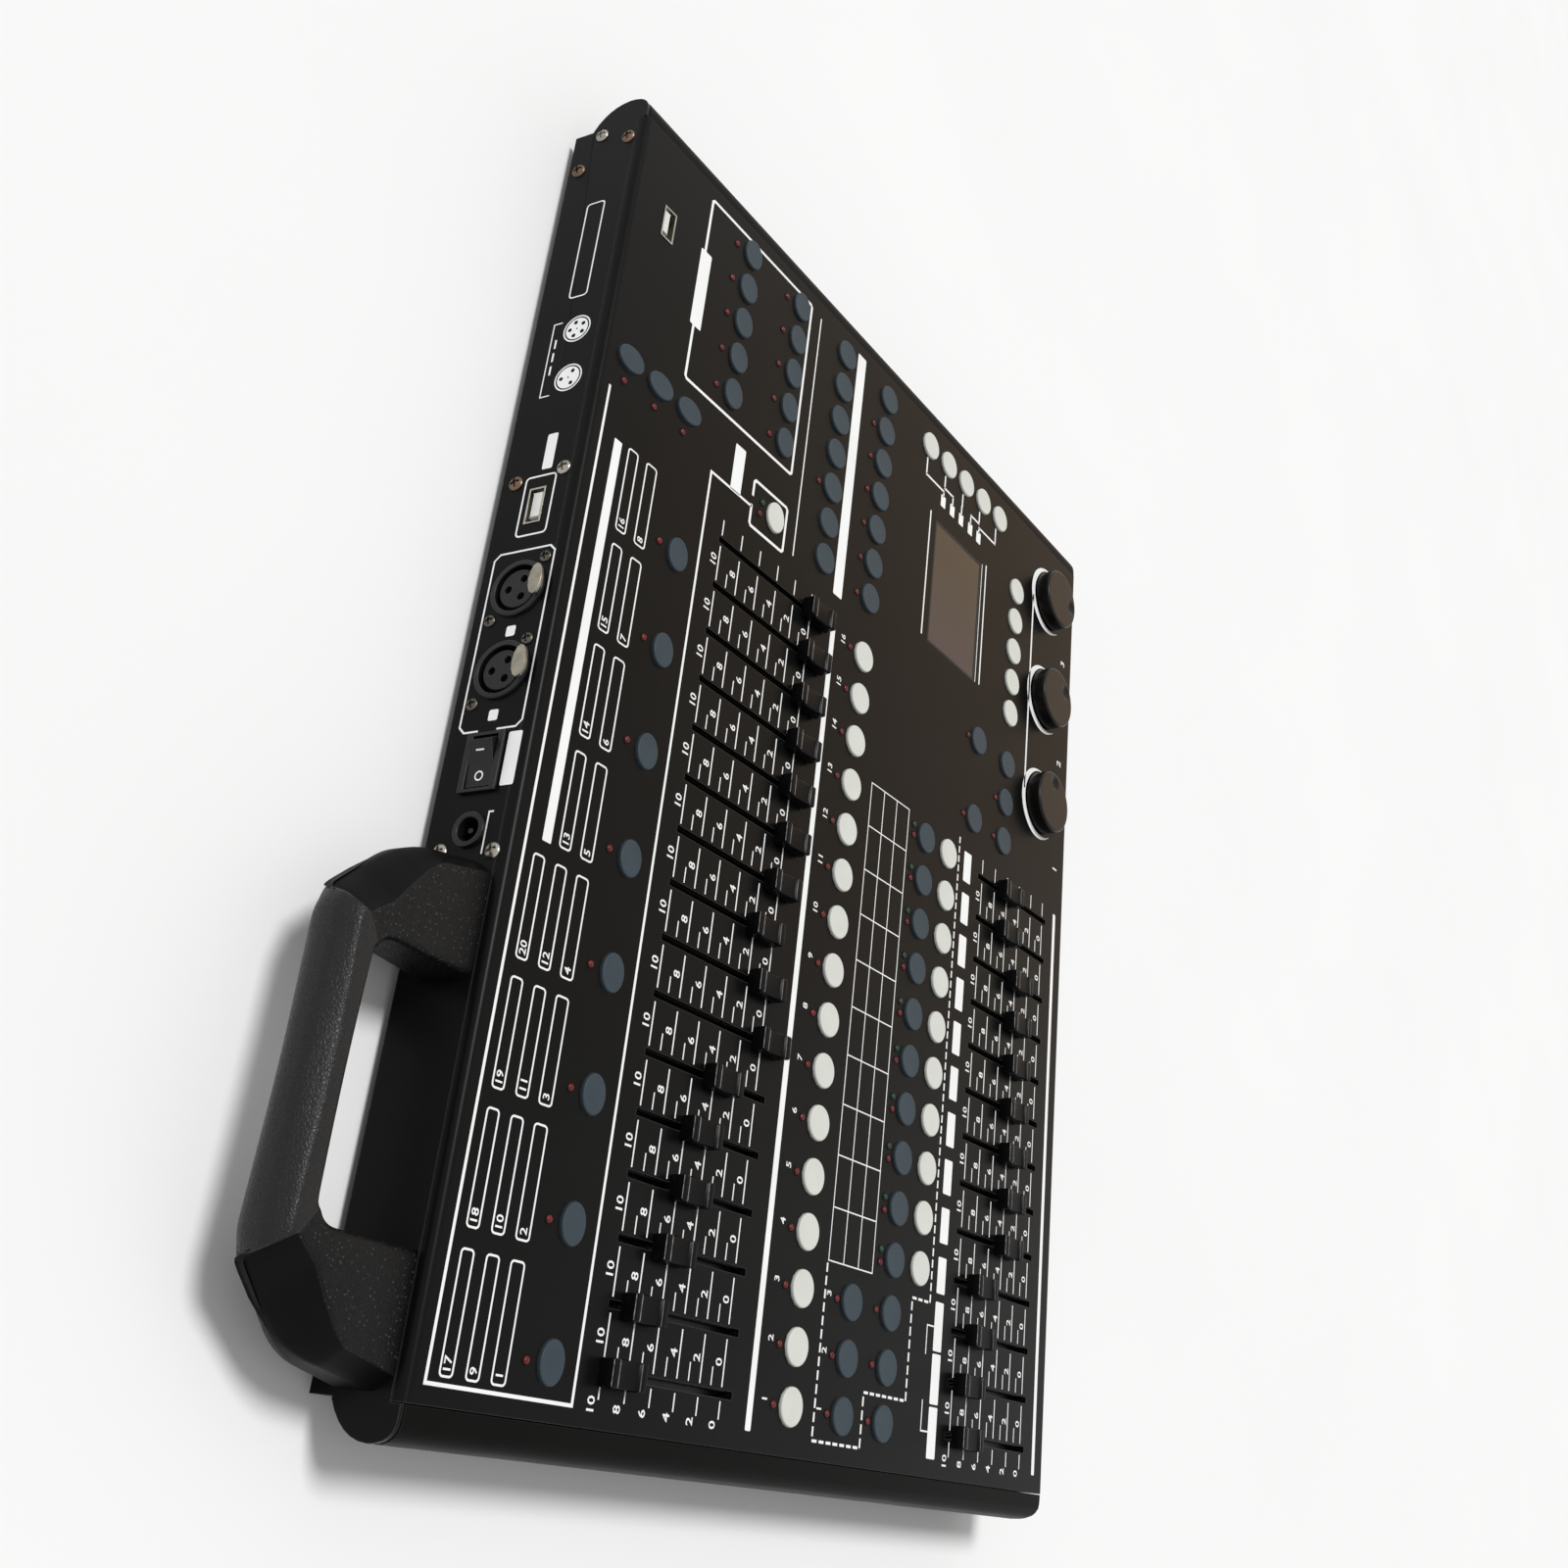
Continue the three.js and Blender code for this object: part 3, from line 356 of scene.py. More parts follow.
def scale_marks(start, end, rear, figures=True, halves=True):
    """Six long ticks and five half ticks between two slots, with a figure to the rear of each."""
    for mark in range(6):
        f = rear + FIRST_TICK + TICK_STEP * mark
        deck_ink.line([(start, f), (end, f)], TICK_LINE)
        if figures:
            inward = FIGURE_INWARD if mark else TEN_INWARD
            deck_ink.number(str(10 - 2 * mark), end - inward, f - FIGURE_REARWARD, SCALE_FIGURE)
        if halves and mark < 5:
            halfway = f + TICK_STEP / 2
            deck_ink.line([(start, halfway), (start + HALF_TICK, halfway)], HALF_TICK_LINE)


for count, rear in ((FIXTURES, FIXTURE_SCALE_REAR), (PLAYBACKS, PLAYBACK_SCALE_REAR)):
    for x in columns[:count]:
        if x == columns[0]:
            scale_marks(x - FIRST_TICK_REACH, x - SLOT_GAP, rear, halves=False)
        if x == columns[count - 1]:
            scale_marks(x + SLOT_GAP, x + LAST_TICK_REACH, rear, figures=False, halves=False)
        else:
            scale_marks(x + SLOT_GAP, x + TICK_REACH, rear)

# rules under the faders, over the keys and along the front: left, right, place and width
for x0, x1, f, width in ((6.5, 319, 153.5, 3.2), (334, 460, 153.9, 6.4), (335, 457, 121, 0.7),
                         (351, 418, 220.5, 1.0), (350.5, 416.5, 270.4, 0.5), (351, 418, 274.3, 1.0),
                         (7, 264, 361, 2.6)):
    corner = min(TAG_CORNER, width / 3)
    deck_ink.filled(soft_box(x0, f - width / 2, x1, f + width / 2, corner))

# the fixture numbers, one to the rear of each white key, and those of the second short row
KEY_FIGURE, KEY_FIGURE_RIGHT, FIXTURE_FIGURES, SHORT_ROW_FIGURES = 3.0, 1.2, 161.3, 194.6
for index, x in enumerate(columns):
    deck_ink.number(str(index + 1), x + KEY_FIGURE_RIGHT, FIXTURE_FIGURES, KEY_FIGURE)
for index, x in enumerate(columns[:3]):
    deck_ink.number(str(index + 1), x + KEY_FIGURE_RIGHT, SHORT_ROW_FIGURES, KEY_FIGURE)

# the level key's box and tag, the function block, soft-key leads and their tags
deck_ink.line([(346, 91.4), (352.6, 91.4), (353.6, 92.4), (353.6, 113), (352.6, 114), (333.6, 114),
               (332.6, 113), (332.6, 92.4), (333.6, 91.4), (342, 91.4)], BLOCK_LINE)
deck_ink.filled(soft_box(341.1, 77.4, 362.1, 83.9, TAG_CORNER))
deck_ink.line([(395, 43.1), (371, 43.1), (370, 44.1), (370, 112.6), (371, 113.6), (457.6, 113.6),
               (458.6, 112.6), (458.6, 44.1), (457.6, 43.1), (432, 43.1)], BLOCK_LINE)
deck_ink.filled(soft_box(395, 40.8, 432, 47.3, TAG_CORNER))
for tag, turn_x, key in ((230.4, 434.6, 214), (239, 436.9, 230.9), (247.6, 436.9, 247.9),
                         (256.6, 436.9, 264.7), (265, 434.6, 281.4)):
    deck_ink.line([(444, key), (turn_x, key)], FRAME_LINE)
    if abs(key - tag) > 1:
        away = FRAME_LINE / 2 if key > tag else -FRAME_LINE / 2
        deck_ink.line([(turn_x, key + away), (turn_x, tag - away)], FRAME_LINE)
    deck_ink.line([(turn_x, tag), (431.5, tag)], FRAME_LINE)
    deck_ink.filled(soft_box(425.7, tag - 2.1, 432.1, tag + 2.1, TAG_CORNER))

# the label grid, the dashed outline and the tags in front of the playback keys
GRID_LEFT, GRID_RIGHT, GRID_REAR, GRID_FRONT = 69, 264, 192.3, 222.4
grid_x = np.linspace(GRID_LEFT, GRID_RIGHT, 11)
grid_f = np.linspace(GRID_REAR, GRID_FRONT, 4)
clear = GRID_LINE / 2
for x in grid_x[1:-1]:
    for start, end in zip(grid_f[:-1], grid_f[1:]):
        deck_ink.line([(x, start + clear), (x, end - clear)], GRID_LINE)
for f in grid_f[1:-1]:
    deck_ink.line([(GRID_LEFT + clear, f), (GRID_RIGHT - clear, f)], GRID_LINE)
deck_ink.line([(GRID_LEFT, GRID_REAR), (GRID_RIGHT, GRID_REAR), (GRID_RIGHT, GRID_FRONT),
               (GRID_LEFT, GRID_FRONT)], GRID_LINE, closed=True)


DASH, DASH_GAP = 3.2, 1.4


def dashed(path, width):
    """Each straight run is cut into equal steps about one dash and one gap long, and the dash's
    share of each step, dash / (dash + gap), is printed."""
    for (x0, f0), (x1, f1) in zip(path[:-1], path[1:]):
        length = np.hypot(x1 - x0, f1 - f0)
        count = max(1, int(round(length / (DASH + DASH_GAP))))
        step = np.array([x1 - x0, f1 - f0]) / count
        for place in range(count):
            start = np.array([x0, f0]) + step * place
            deck_ink.line([start, start + step * DASH / (DASH + DASH_GAP)], width)


dashed([(68, 191.9), (6.7, 191.9), (6.7, 223.1), (26.1, 223.1), (26.1, 253), (64.7, 253),
        (64.7, 266.6), (270, 266.4)], 1.0)
TAG_HALF, MASTER_TAG_HALF, BRACKET_LINE = 7.2, 9.5, 0.6
for index, x in enumerate(columns[:PLAYBACKS]):
    half = TAG_HALF if index > 2 else MASTER_TAG_HALF
    deck_ink.filled(soft_box(x - half, 271.1, x + half, 277.6, TAG_CORNER))
deck_ink.line([(16.6, 271), (16.6, 265.7), (28, 265.7)], BRACKET_LINE)
deck_ink.line([(45, 265.7), (56.1, 265.7), (56.1, 271)], BRACKET_LINE)

# the wheels' tapering arcs, the rule that joins them and the wheel numbers
WHEEL_ROW, WHEEL_PLACES, ARC_RADIUS, ARC_STEPS = 341.5, (316.0, 374.7, 433.4), 17.6, 40
ARC_SWELL, ARC_NARROW, ARC_WIDE = 4.6, 0.5, 3.4
WHEEL_FIGURE, WHEEL_FIGURE_LEFT, WHEEL_FIGURE_ROW = 4.2, 28.3, 359.5
arc_turn = np.radians(np.linspace(145, 360, ARC_STEPS))
arc_width = np.clip(np.sin(np.linspace(0, np.pi, ARC_STEPS)) * ARC_SWELL, ARC_NARROW, ARC_WIDE)
for number, x in enumerate(WHEEL_PLACES):
    deck_ink.line(np.stack([x + ARC_RADIUS * np.cos(arc_turn),
                            WHEEL_ROW + ARC_RADIUS * np.sin(arc_turn)], -1), arc_width)
    deck_ink.number(str(number + 1), x - WHEEL_FIGURE_LEFT, WHEEL_FIGURE_ROW, WHEEL_FIGURE)
deck_ink.line([(318, 324.3), (429, 324.3)], 1.4)
add_piece("deck_print", deck_ink.mesh("deck_print", lambda p: on_deck(p, PRINT_LIFT)), [ink],
          "console")


# Keys. Low rubber keys moulded in one piece with the mat that carries them. The mat's flat web
# lies just under the steel, and each key, round or oval, stands out of its hole with an eased
# edge.
def weave(rows, columns):
    """The four-sided faces between the rows of a grid of points, each row closed round:
    (i, j), (i, j + 1), (i + 1, j + 1), (i + 1, j)."""
    this_row = np.arange(rows - 1)[:, None] * columns
    next_row = this_row + columns
    j = np.arange(columns)[None, :]
    following = (j + 1) % columns
    corners = [this_row + j, this_row + following, next_row + following, next_row + j]
    return np.stack(corners, -1).reshape(-1, 4)


def scattered(points, quads, places):
    """The same small shape set down at each place."""
    many = (points[None] + places[:, None]).reshape(-1, 3)
    faces = (quads[None] + len(points) * np.arange(len(places))[:, None, None]).reshape(-1, 4)
    return many, faces


def turned_profile(profile, sides):
    """A profile of radius and height turned about the upright: x = r cos u, y = r sin u."""
    profile = np.asarray(profile, float) * MM
    around = np.linspace(0, 2 * np.pi, sides, endpoint=False)
    points = np.stack([
        profile[:, None, 0] * np.cos(around), profile[:, None, 0] * np.sin(around),
        np.broadcast_to(profile[:, None, 1], (len(profile), sides))], -1).reshape(-1, 3)
    return points, weave(len(profile), sides)


slate_rubber = coated("slate_rubber", (0.035, 0.052, 0.064), 0.5, 0.25, 0.12, 9, specular=0.2,
                      tint_share=0.08, edge_wear_and_highlight=0.7)
white_rubber = coated("white_rubber", (0.66, 0.67, 0.62), 0.58, 0.25, 0.1, 9, specular=0.35,
                      tint_share=0.03)
KEY_PROUD = (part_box("level_key")[1].z - deck_top) / MM
KEY_EASE, KEY_DRAFT, KEY_SIDES = 0.65, 0.03, 48
KEY_DISH, DISH_START, DISH_FLOOR = 0.1, 1.1, 1.8
MAT_TOP, WEB_THICKNESS, WEB_REACH, WEB_SINK = -1.8, 1.2, 8.3, 0.01
ROUND_KEY, OVAL_KEY, RIGHT_COLUMN, KEY_PITCH = (6.75, 6.5), (6.75, 5.4), 452.2, 17.75
MASTERS, BANK_ROWS, FUNCTION_ROWS, LEVEL_ROW = 3, (14, 31, 48), (71, 106.5), 106.5


def key_shape(half_across, half_along):
    """One key: x = (a - inset) k cos u, y = (b - inset) k sin u over a list of insets, shares k
    and heights, so that the eased edge stays even on an oval."""
    dished = KEY_PROUD - KEY_DISH
    rings = [(0, 0, MAT_TOP), (0, 1, MAT_TOP), (0, 1, 0), (KEY_DRAFT, 1, KEY_PROUD - KEY_EASE)]
    for turn in np.radians(np.linspace(0, 90, 6))[1:]:
        rings.append((KEY_DRAFT + KEY_EASE * (1 - np.cos(turn)), 1,
                      KEY_PROUD - KEY_EASE + KEY_EASE * np.sin(turn)))
    rings += [(DISH_START, 1, KEY_PROUD - KEY_DISH * 0.6)]
    rings += [(DISH_FLOOR, share, dished) for share in (1, 0.5, 0)]
    inset, share, height = np.array(rings).T[:, :, None]
    around = np.linspace(0, 2 * np.pi, KEY_SIDES, endpoint=False)
    points = np.stack([(half_across - inset) * share * np.cos(around),
                       (half_along - inset) * share * np.sin(around), height + 0 * around], -1)
    return points.reshape(-1, 3) * MM, weave(len(rings), KEY_SIDES)


def row(count, first, pitch, f):
    """A row of keys: x = first + pitch i, at one distance f from the deck's rear."""
    return [(first + pitch * index, f) for index in range(count)]


key_groups = {
    "attribute_keys": (slate_rubber, row(8, FIRST_COLUMN, 2 * FADER_PITCH, 53.7)),
    "bank_keys": (slate_rubber, [(356.9, f) for f in BANK_ROWS]),
    "level_key": (white_rubber, [(344.4, LEVEL_ROW)]),
    "fixture_keys": (white_rubber, row(FIXTURES, FIRST_COLUMN, FADER_PITCH, 176.9)),
    "function_keys": (slate_rubber, [place for f in FUNCTION_ROWS
                                     for place in row(5, RIGHT_COLUMN, -KEY_PITCH, f)]),
    "lighting_keys": (slate_rubber, row(7, RIGHT_COLUMN, -KEY_PITCH, 142)),
    "page_keys": (slate_rubber, row(7, RIGHT_COLUMN, -KEY_PITCH, 177.5)),
    "display_keys": (white_rubber, [(451.4, 215.5 + 17.2 * i) for i in range(5)]
                     + row(5, 350.2, 17.5, 305.7)),
    "transport_keys": (slate_rubber, [(322.1, 277.1), (281.9, 277.1)] + row(3, 281.9, 20.1, 305.7)),
    "playback_dark_keys": (slate_rubber, row(PLAYBACKS, FIRST_COLUMN, FADER_PITCH, 237.3)
                           + row(MASTERS, FIRST_COLUMN, FADER_PITCH, 209.6)),
    "playback_white_keys": (white_rubber, row(10, columns[MASTERS], FADER_PITCH, 256.7)),
}
key_halves = {"attribute_keys": (6.75, 5.25), "function_keys": OVAL_KEY, "level_key": OVAL_KEY,
              "bank_keys": (5.2, 6.75)}
split_rows = {"display_keys": (slice(0, 5), slice(5, 10)),
              "transport_keys": (slice(0, 2), slice(2, 5)),
              "playback_dark_keys": (slice(0, PLAYBACKS), slice(PLAYBACKS, PLAYBACKS + MASTERS))}
web_faces = np.array([(0, 3, 2, 1), (4, 5, 6, 7), (0, 1, 5, 4), (1, 2, 6, 5), (2, 3, 7, 6),
                      (3, 0, 4, 7)])
web_top = deck_top + MAT_TOP * MM
for group_name, (rubber, places) in key_groups.items():
    key_points, key_quads = key_shape(*key_halves.get(group_name, ROUND_KEY))
    points, quads = scattered(key_points, key_quads, on_deck(places))
    for rank in split_rows.get(group_name, (slice(None),)):
        web_row = np.asarray(places, float)[rank]
        (x0, f0), (x1, f1) = web_row.min(0) - WEB_REACH, web_row.max(0) + WEB_REACH
        corners = on_deck([(x0, f1), (x1, f1), (x1, f0), (x0, f0)])
        web = np.concatenate([np.column_stack([corners[:, :2], np.full(4, z)])
                              for z in (web_top - WEB_THICKNESS * MM, web_top + WEB_SINK * MM)])
        quads = np.concatenate([quads, web_faces + len(points)])
        points = np.concatenate([points, web])
    add_piece(group_name + "_caps", mesh_of(group_name, points, quads), [rubber], group_name,
              [group_name])


# Indicators. Lens caps 2.6 mm across, dark while they are off, pushed up through the deck beside
# the keys: red almost everywhere, green beside the playback keys and the level key. Each sits in
# a thin black ring.
red_lens = coated("red_lens", (0.13, 0.007, 0.007), 0.14, 0.4, 0.04, 4, specular=0.25,
                  tint_share=0.2)
green_lens = coated("green_lens", (0.008, 0.045, 0.024), 0.14, 0.4, 0.04, 4, specular=0.25,
                    tint_share=0.2)
lens_seat = coated("lens_seat", (0.002, 0.002, 0.002), 0.5, 0.4, 0.04, 4, specular=0.1)
LENS_RADIUS, LENS_SIDES, LENS_FOOT, LENS_EDGE, LENS_BULGE = 1.3, 20, -1.0, 0.1, 0.75
SEAT_RADIUS, SEAT_GAP, SEAT_FOOT, SEAT_TOP, SEAT_EASE = 1.75, 0.02, -0.5, 0.2, 0.1
lens_profile = [(0, LENS_FOOT), (LENS_RADIUS, LENS_FOOT)]
lens_profile += [(LENS_RADIUS * np.cos(turn), LENS_EDGE + LENS_BULGE * np.sin(turn))
                 for turn in np.radians(np.linspace(0, 90, 6))]
seat_inner = LENS_RADIUS + SEAT_GAP
seat_profile = [(seat_inner, SEAT_FOOT), (SEAT_RADIUS, SEAT_FOOT), (SEAT_RADIUS, SEAT_TOP - 0.08),
                (SEAT_RADIUS - SEAT_EASE, SEAT_TOP), (LENS_RADIUS + SEAT_EASE, SEAT_TOP),
                (seat_inner, SEAT_TOP - SEAT_EASE), (seat_inner, SEAT_FOOT)]
function_columns = [RIGHT_COLUMN - KEY_PITCH * i - 2 for i in range(7)]
red_places = [(FIRST_COLUMN + ATTRIBUTE_PITCH * i - 0.5, 43.5) for i in range(8)]
red_places += [(346.6, f - 1.5) for f in BANK_ROWS] + [(340.8, 96.8), (379, 132.2)]
red_places += [(x - 0.2, 166.5) for x in columns]
red_places += [(x, f - 10.3) for x in function_columns[:5] for f in FUNCTION_ROWS]
red_places += [(x, 167.4) for x in function_columns[1:]]
red_places += [(x, 227) for x in columns[:MASTERS]]
red_places += [(x - 2.3, 227.2) for x in columns[MASTERS:PLAYBACKS]]
red_places += [(x, 199.8) for x in columns[:MASTERS]]
red_places += [(321.1, 267.6), (280.9, 267.6), (300.9, 296.2), (280.9, 296.2)]
green_places = [(x + 2.7, 227.2) for x in columns[MASTERS:PLAYBACKS]] + [(346.5, 97.8)]
for name, profile, places, finish, slot in (
        ("red_indicators", lens_profile, red_places, red_lens, "fader_plastic"),
        ("green_indicators", lens_profile, green_places, green_lens, "fader_plastic"),
        ("indicator_seats", seat_profile, red_places + green_places, lens_seat, "socket_plastic")):
    points, quads = scattered(*turned_profile(profile, LENS_SIDES), on_deck(places))
    add_piece(name, mesh_of(name, points, quads), [finish], "console")


# Faders. Low black caps on flat steel stems. A cap's side profile has a short flat crest at either
# end and a shallow saddle between them for the fingertip; its corners are eased, and its crests'
# eased edges carry a painted highlight, bright at the rear and dim at the front.
cap_plastic = coated("fader_plastic", (0.003, 0.003, 0.0033), 0.3, 0.5, 0.04, 8, specular=0.07,
                     edge_wear_and_highlight=0.08)
# painted highlights on the crests' eased edges: bright at the rear, dim at the front
rear_edge_highlight = coated("painted_highlight_rear_edge", (0.3, 0.3, 0.29), 0.45, 0.4, 0.08, 1.5, tint_share=0.7)
front_edge_highlight = coated("painted_highlight_front_edge", (0.07, 0.07, 0.068), 0.45, 0.4, 0.08, 1.5, tint_share=0.7)
stem_steel = coated("stem_steel", (0.5, 0.5, 0.48), 0.35, 0.4, 0.08, 5, metallic=1.0,
                    tint_share=0.1)
CAP_HALF, CAP_TOP, CAP_FOOT, CAP_HALF_WIDTH = 8.25, 6.1, 0.5, 4.3
CREST_LENGTH, CREST_EASE, SADDLE_START, SADDLE_DROP, SADDLE_RUN = 3.2, 0.35, 0.1, 0.85, 1.6
STEM_HALF, STEM_HALF_WIDTH, STEM_TOP, STEM_FOOT = 2.5, 0.6, 2.0, -6.5


def across_loft(profile, stations):
    """A closed side profile carried across in X: at each station it is drawn in by the inset,
    every corner moving along the mean of its two edge normals; the ends are closed flat."""
    profile = np.asarray(profile, float)
    ahead = np.roll(profile, -1, axis=0) - profile
    ahead /= np.linalg.norm(ahead, axis=1, keepdims=True)
    behind = np.roll(ahead, 1, axis=0)
    out = ahead + behind
    out = np.stack([out[:, 1], -out[:, 0]], -1)
    out /= np.linalg.norm(out, axis=1, keepdims=True)
    rings = np.array([np.column_stack([np.full(len(profile), x), profile - out * inset])
                      for x, inset in stations])
    count = len(profile)
    quads = weave(len(stations), count)
    caps = (np.arange(count)[::-1], np.arange(count) + count * (len(stations) - 1))
    return rings.reshape(-1, 3) * MM, quads, caps


crest_end = CAP_HALF - CREST_LENGTH
crest_foot = CAP_TOP - CREST_EASE * 0.3
half_profile = [(CAP_HALF, CAP_FOOT), (CAP_HALF, CAP_FOOT + 0.4),
                (CAP_HALF - 0.15, CAP_TOP - CREST_EASE), (CAP_HALF - CREST_EASE * 0.7, crest_foot),
                (CAP_HALF - CREST_EASE * 1.6, CAP_TOP), (crest_end + CREST_EASE, CAP_TOP),
                (crest_end, crest_foot)]
for share in np.linspace(0, 1, 7)[1:]:
    fall = SADDLE_START + (SADDLE_DROP - SADDLE_START) * share * (2 - share)
    half_profile.append((crest_end - SADDLE_RUN * share, CAP_TOP - fall))
cap_profile = half_profile + [(-y, z) for y, z in half_profile[::-1]]
cap_corner = [(0, 0.6), (0.12, 0.3), (0.35, 0.08), (0.7, 0.0)]
cap_stations = ([(step - CAP_HALF_WIDTH, inset) for step, inset in cap_corner]
                + [(CAP_HALF_WIDTH - step, inset) for step, inset in cap_corner[::-1]])
cap_points, cap_quads, cap_ends = across_loft(cap_profile, cap_stations)
stem_profile = [(STEM_HALF, STEM_FOOT), (STEM_HALF, STEM_TOP), (-STEM_HALF, STEM_TOP),
                (-STEM_HALF, STEM_FOOT)]
stem_points, stem_quads, stem_ends = across_loft(
    stem_profile, [(-STEM_HALF_WIDTH, 0.0), (STEM_HALF_WIDTH, 0.0)])
fader_names = ([f"fixture_fader_{i + 1:02d}" for i in range(FIXTURES)]
               + [f"playback_fader_{i + 1:02d}" for i in range(PLAYBACKS - MASTERS)]
               + [f"master_fader_{i + 1}" for i in range(MASTERS)])
for fader_name in fader_names:
    low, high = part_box(fader_name)
    centre = np.array([(low.x + high.x) / 2, (low.y + high.y) / 2, deck_top])
    cap_mesh = mesh_of(fader_name, cap_points + centre, cap_quads, cap_ends)
    cap = add_piece(fader_name + "_cap", cap_mesh, [cap_plastic, rear_edge_highlight, front_edge_highlight], fader_name,
                    [fader_name])
    # the narrow faces that ease each crest's outer and inner edge carry the painted highlight
    for face in cap.data.polygons:
        y, z = (face.center.y - centre[1]) / MM, (face.center.z - centre[2]) / MM
        outer_edge = CAP_HALF - 0.4 < abs(y) < CAP_HALF - 0.1
        inner_edge = abs(abs(y) - crest_end - CREST_EASE / 2) < 0.1
        if z > CAP_TOP - 0.3 and (outer_edge or inner_edge):
            face.material_index = 1 if y > 0 else 2
    stem_mesh = mesh_of(fader_name, stem_points + centre, stem_quads, stem_ends)
    add_piece(fader_name + "_stem", stem_mesh, [stem_steel], fader_name)


# Jog wheels. Smooth black thumb wheels, turned from plastic with a satin top, a softly broken edge
# and one round finger dimple; each is pressed on its encoder's shaft.
# the black is tinted warm brown: a painted reflection of the warm light on the wheels' tops
wheel_plastic = coated("wheel_plastic", (0.005, 0.0038, 0.0032), 0.3, 0.4, 0.04, 20, specular=0.18,
                       edge_wear_and_highlight=0.15)
WHEEL_RADIUS, WHEEL_FOOT, WHEEL_HEIGHT, WHEEL_EASE = 15.5, 0.5, 8.0, 1.2
SHAFT_RADIUS, SHAFT_FOOT, SKIRT_EASE = 3.0, -6.5, 0.6
DIMPLE_ORBIT, DIMPLE_RADIUS, DIMPLE_DEPTH = 10.0, 3.75, 1.25
wheel_profile = [(0, SHAFT_FOOT), (SHAFT_RADIUS, SHAFT_FOOT), (SHAFT_RADIUS, WHEEL_FOOT),
                 (WHEEL_RADIUS - SKIRT_EASE, WHEEL_FOOT), (WHEEL_RADIUS, WHEEL_FOOT + SKIRT_EASE)]
for turn in np.radians(np.linspace(0, 90, 7)):
    wheel_profile.append((WHEEL_RADIUS - WHEEL_EASE * (1 - np.cos(turn)),
                          WHEEL_HEIGHT - WHEEL_EASE + WHEEL_EASE * np.sin(turn)))
wheel_profile += [(r, WHEEL_HEIGHT) for r in np.linspace(WHEEL_RADIUS - WHEEL_EASE, 0, 30)[1:]]
for number, angle in enumerate(np.radians([0.0, -50.4, -90.0])):
    name = f"jog_wheel_{number + 1}"
    low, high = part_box(name)
    points, quads = turned_profile(wheel_profile, 96)
    reach = np.hypot(points[:, 0] / MM - DIMPLE_ORBIT * np.cos(angle),
                     points[:, 1] / MM - DIMPLE_ORBIT * np.sin(angle))
    on_top = points[:, 2] > (WHEEL_HEIGHT - 0.01) * MM
    bowl = DIMPLE_DEPTH * np.clip(1 - (reach / DIMPLE_RADIUS) ** 2, 0, 1)
    points[:, 2] -= np.where(on_top, bowl, 0) * MM
    points += np.array([(low.x + high.x) / 2, (low.y + high.y) / 2, deck_top])
    add_piece(name + "_turned", mesh_of(name, points, quads), [wheel_plastic], name,
              [name])


# Display. A module screwed under the deck: a black plastic frame, and behind the window a smoked
# glass whose unlit panel shows a brown-violet cast, painted over with brown towards the right.
def painted_over(material, colour, share):
    """Mixes a second colour into a finish; share gives the outlet that says how much of it shows,
    from the tree and the outlets of the place's coordinates."""
    tree = material.node_tree
    base = tree.nodes["Principled BSDF"].inputs["Base Color"]
    place = tree.nodes.new("ShaderNodeTexCoord").outputs["Object"]
    split = wire(tree, "ShaderNodeSeparateXYZ", {"Vector": place})
    mixed = wire(tree, "ShaderNodeMix", {
        "Factor": share(tree, split.outputs), "A": base.links[0].from_socket, "B": colour},
        data_type="RGBA")
    tree.links.new(mixed.outputs["Result"], base)


window_low, window_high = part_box("lcd_module")


def left_to_right(tree, place):
    """The share of the way across the window: (x - left) / (right - left)."""
    return wire(tree, "ShaderNodeMapRange", {
        "From Min": window_low.x, "From Max": window_high.x, "Value": place["X"]}).outputs["Result"]


display_glass = coated("display_glass", (0.036, 0.028, 0.036), 0.14, 2.0, 0.01, 45, specular=0.3,
                       tint_share=0.2, coat=0.2)
painted_over(display_glass, (0.03, 0.024, 0.012, 1), left_to_right)
settled("lcd_module", "display_window", display_glass, "console", 0.12)
bezel_black = coated("display_frame", (0.005, 0.005, 0.005), 0.45, 0.3, 0.1, 15, specular=0.3,
                     edge_wear_and_highlight=0.6)
WINDOW_BORDER = 5.3
rim = []
for inset, height in ((-0.28, -1.4), (-0.28, -0.15), (0, -0.08), (0.9, -0.2), (1.0, -0.39)):
    x0, y0 = (corner + (WINDOW_BORDER + inset) * MM for corner in window_low[:2])
    x1, y1 = (corner - (WINDOW_BORDER + inset) * MM for corner in window_high[:2])
    rim += [(x, y, deck_top + height * MM) for x, y in ((x0, y0), (x1, y0), (x1, y1), (x0, y1))]
add_piece("display_rim", mesh_of("display_rim", np.array(rim), weave(5, 4)),
          [bezel_black], "console", sharp_degrees=30)


# Rear panel. A flat steel plate in the same powder coat, leaning outwards to its foot under the
# deck's rear lip; its ends swell over the rails. It carries the handle, the sockets and
# cross-head screws.
settled("rear_panel", "rear_plate", steel_black, "console", 0.2)
REAR_LEAN = np.radians(8.2)


def rear_place(points, lift=0.0):
    """Points drawn on the rear panel: millimetres across from the left end, outwards and down
    from the deck's height. The panel leans, so going down also goes outwards."""
    points = np.asarray(points, float)
    if points.shape[1] == 2:
        points = np.column_stack([points[:, 0], np.full(len(points), lift), points[:, 1]])
    across, out, down = points.T * MM
    return np.stack([deck_left + across,
                     deck_rear + out * np.cos(REAR_LEAN) + down * np.sin(REAR_LEAN),
                     deck_top + out * np.sin(REAR_LEAN) - down * np.cos(REAR_LEAN)], -1)


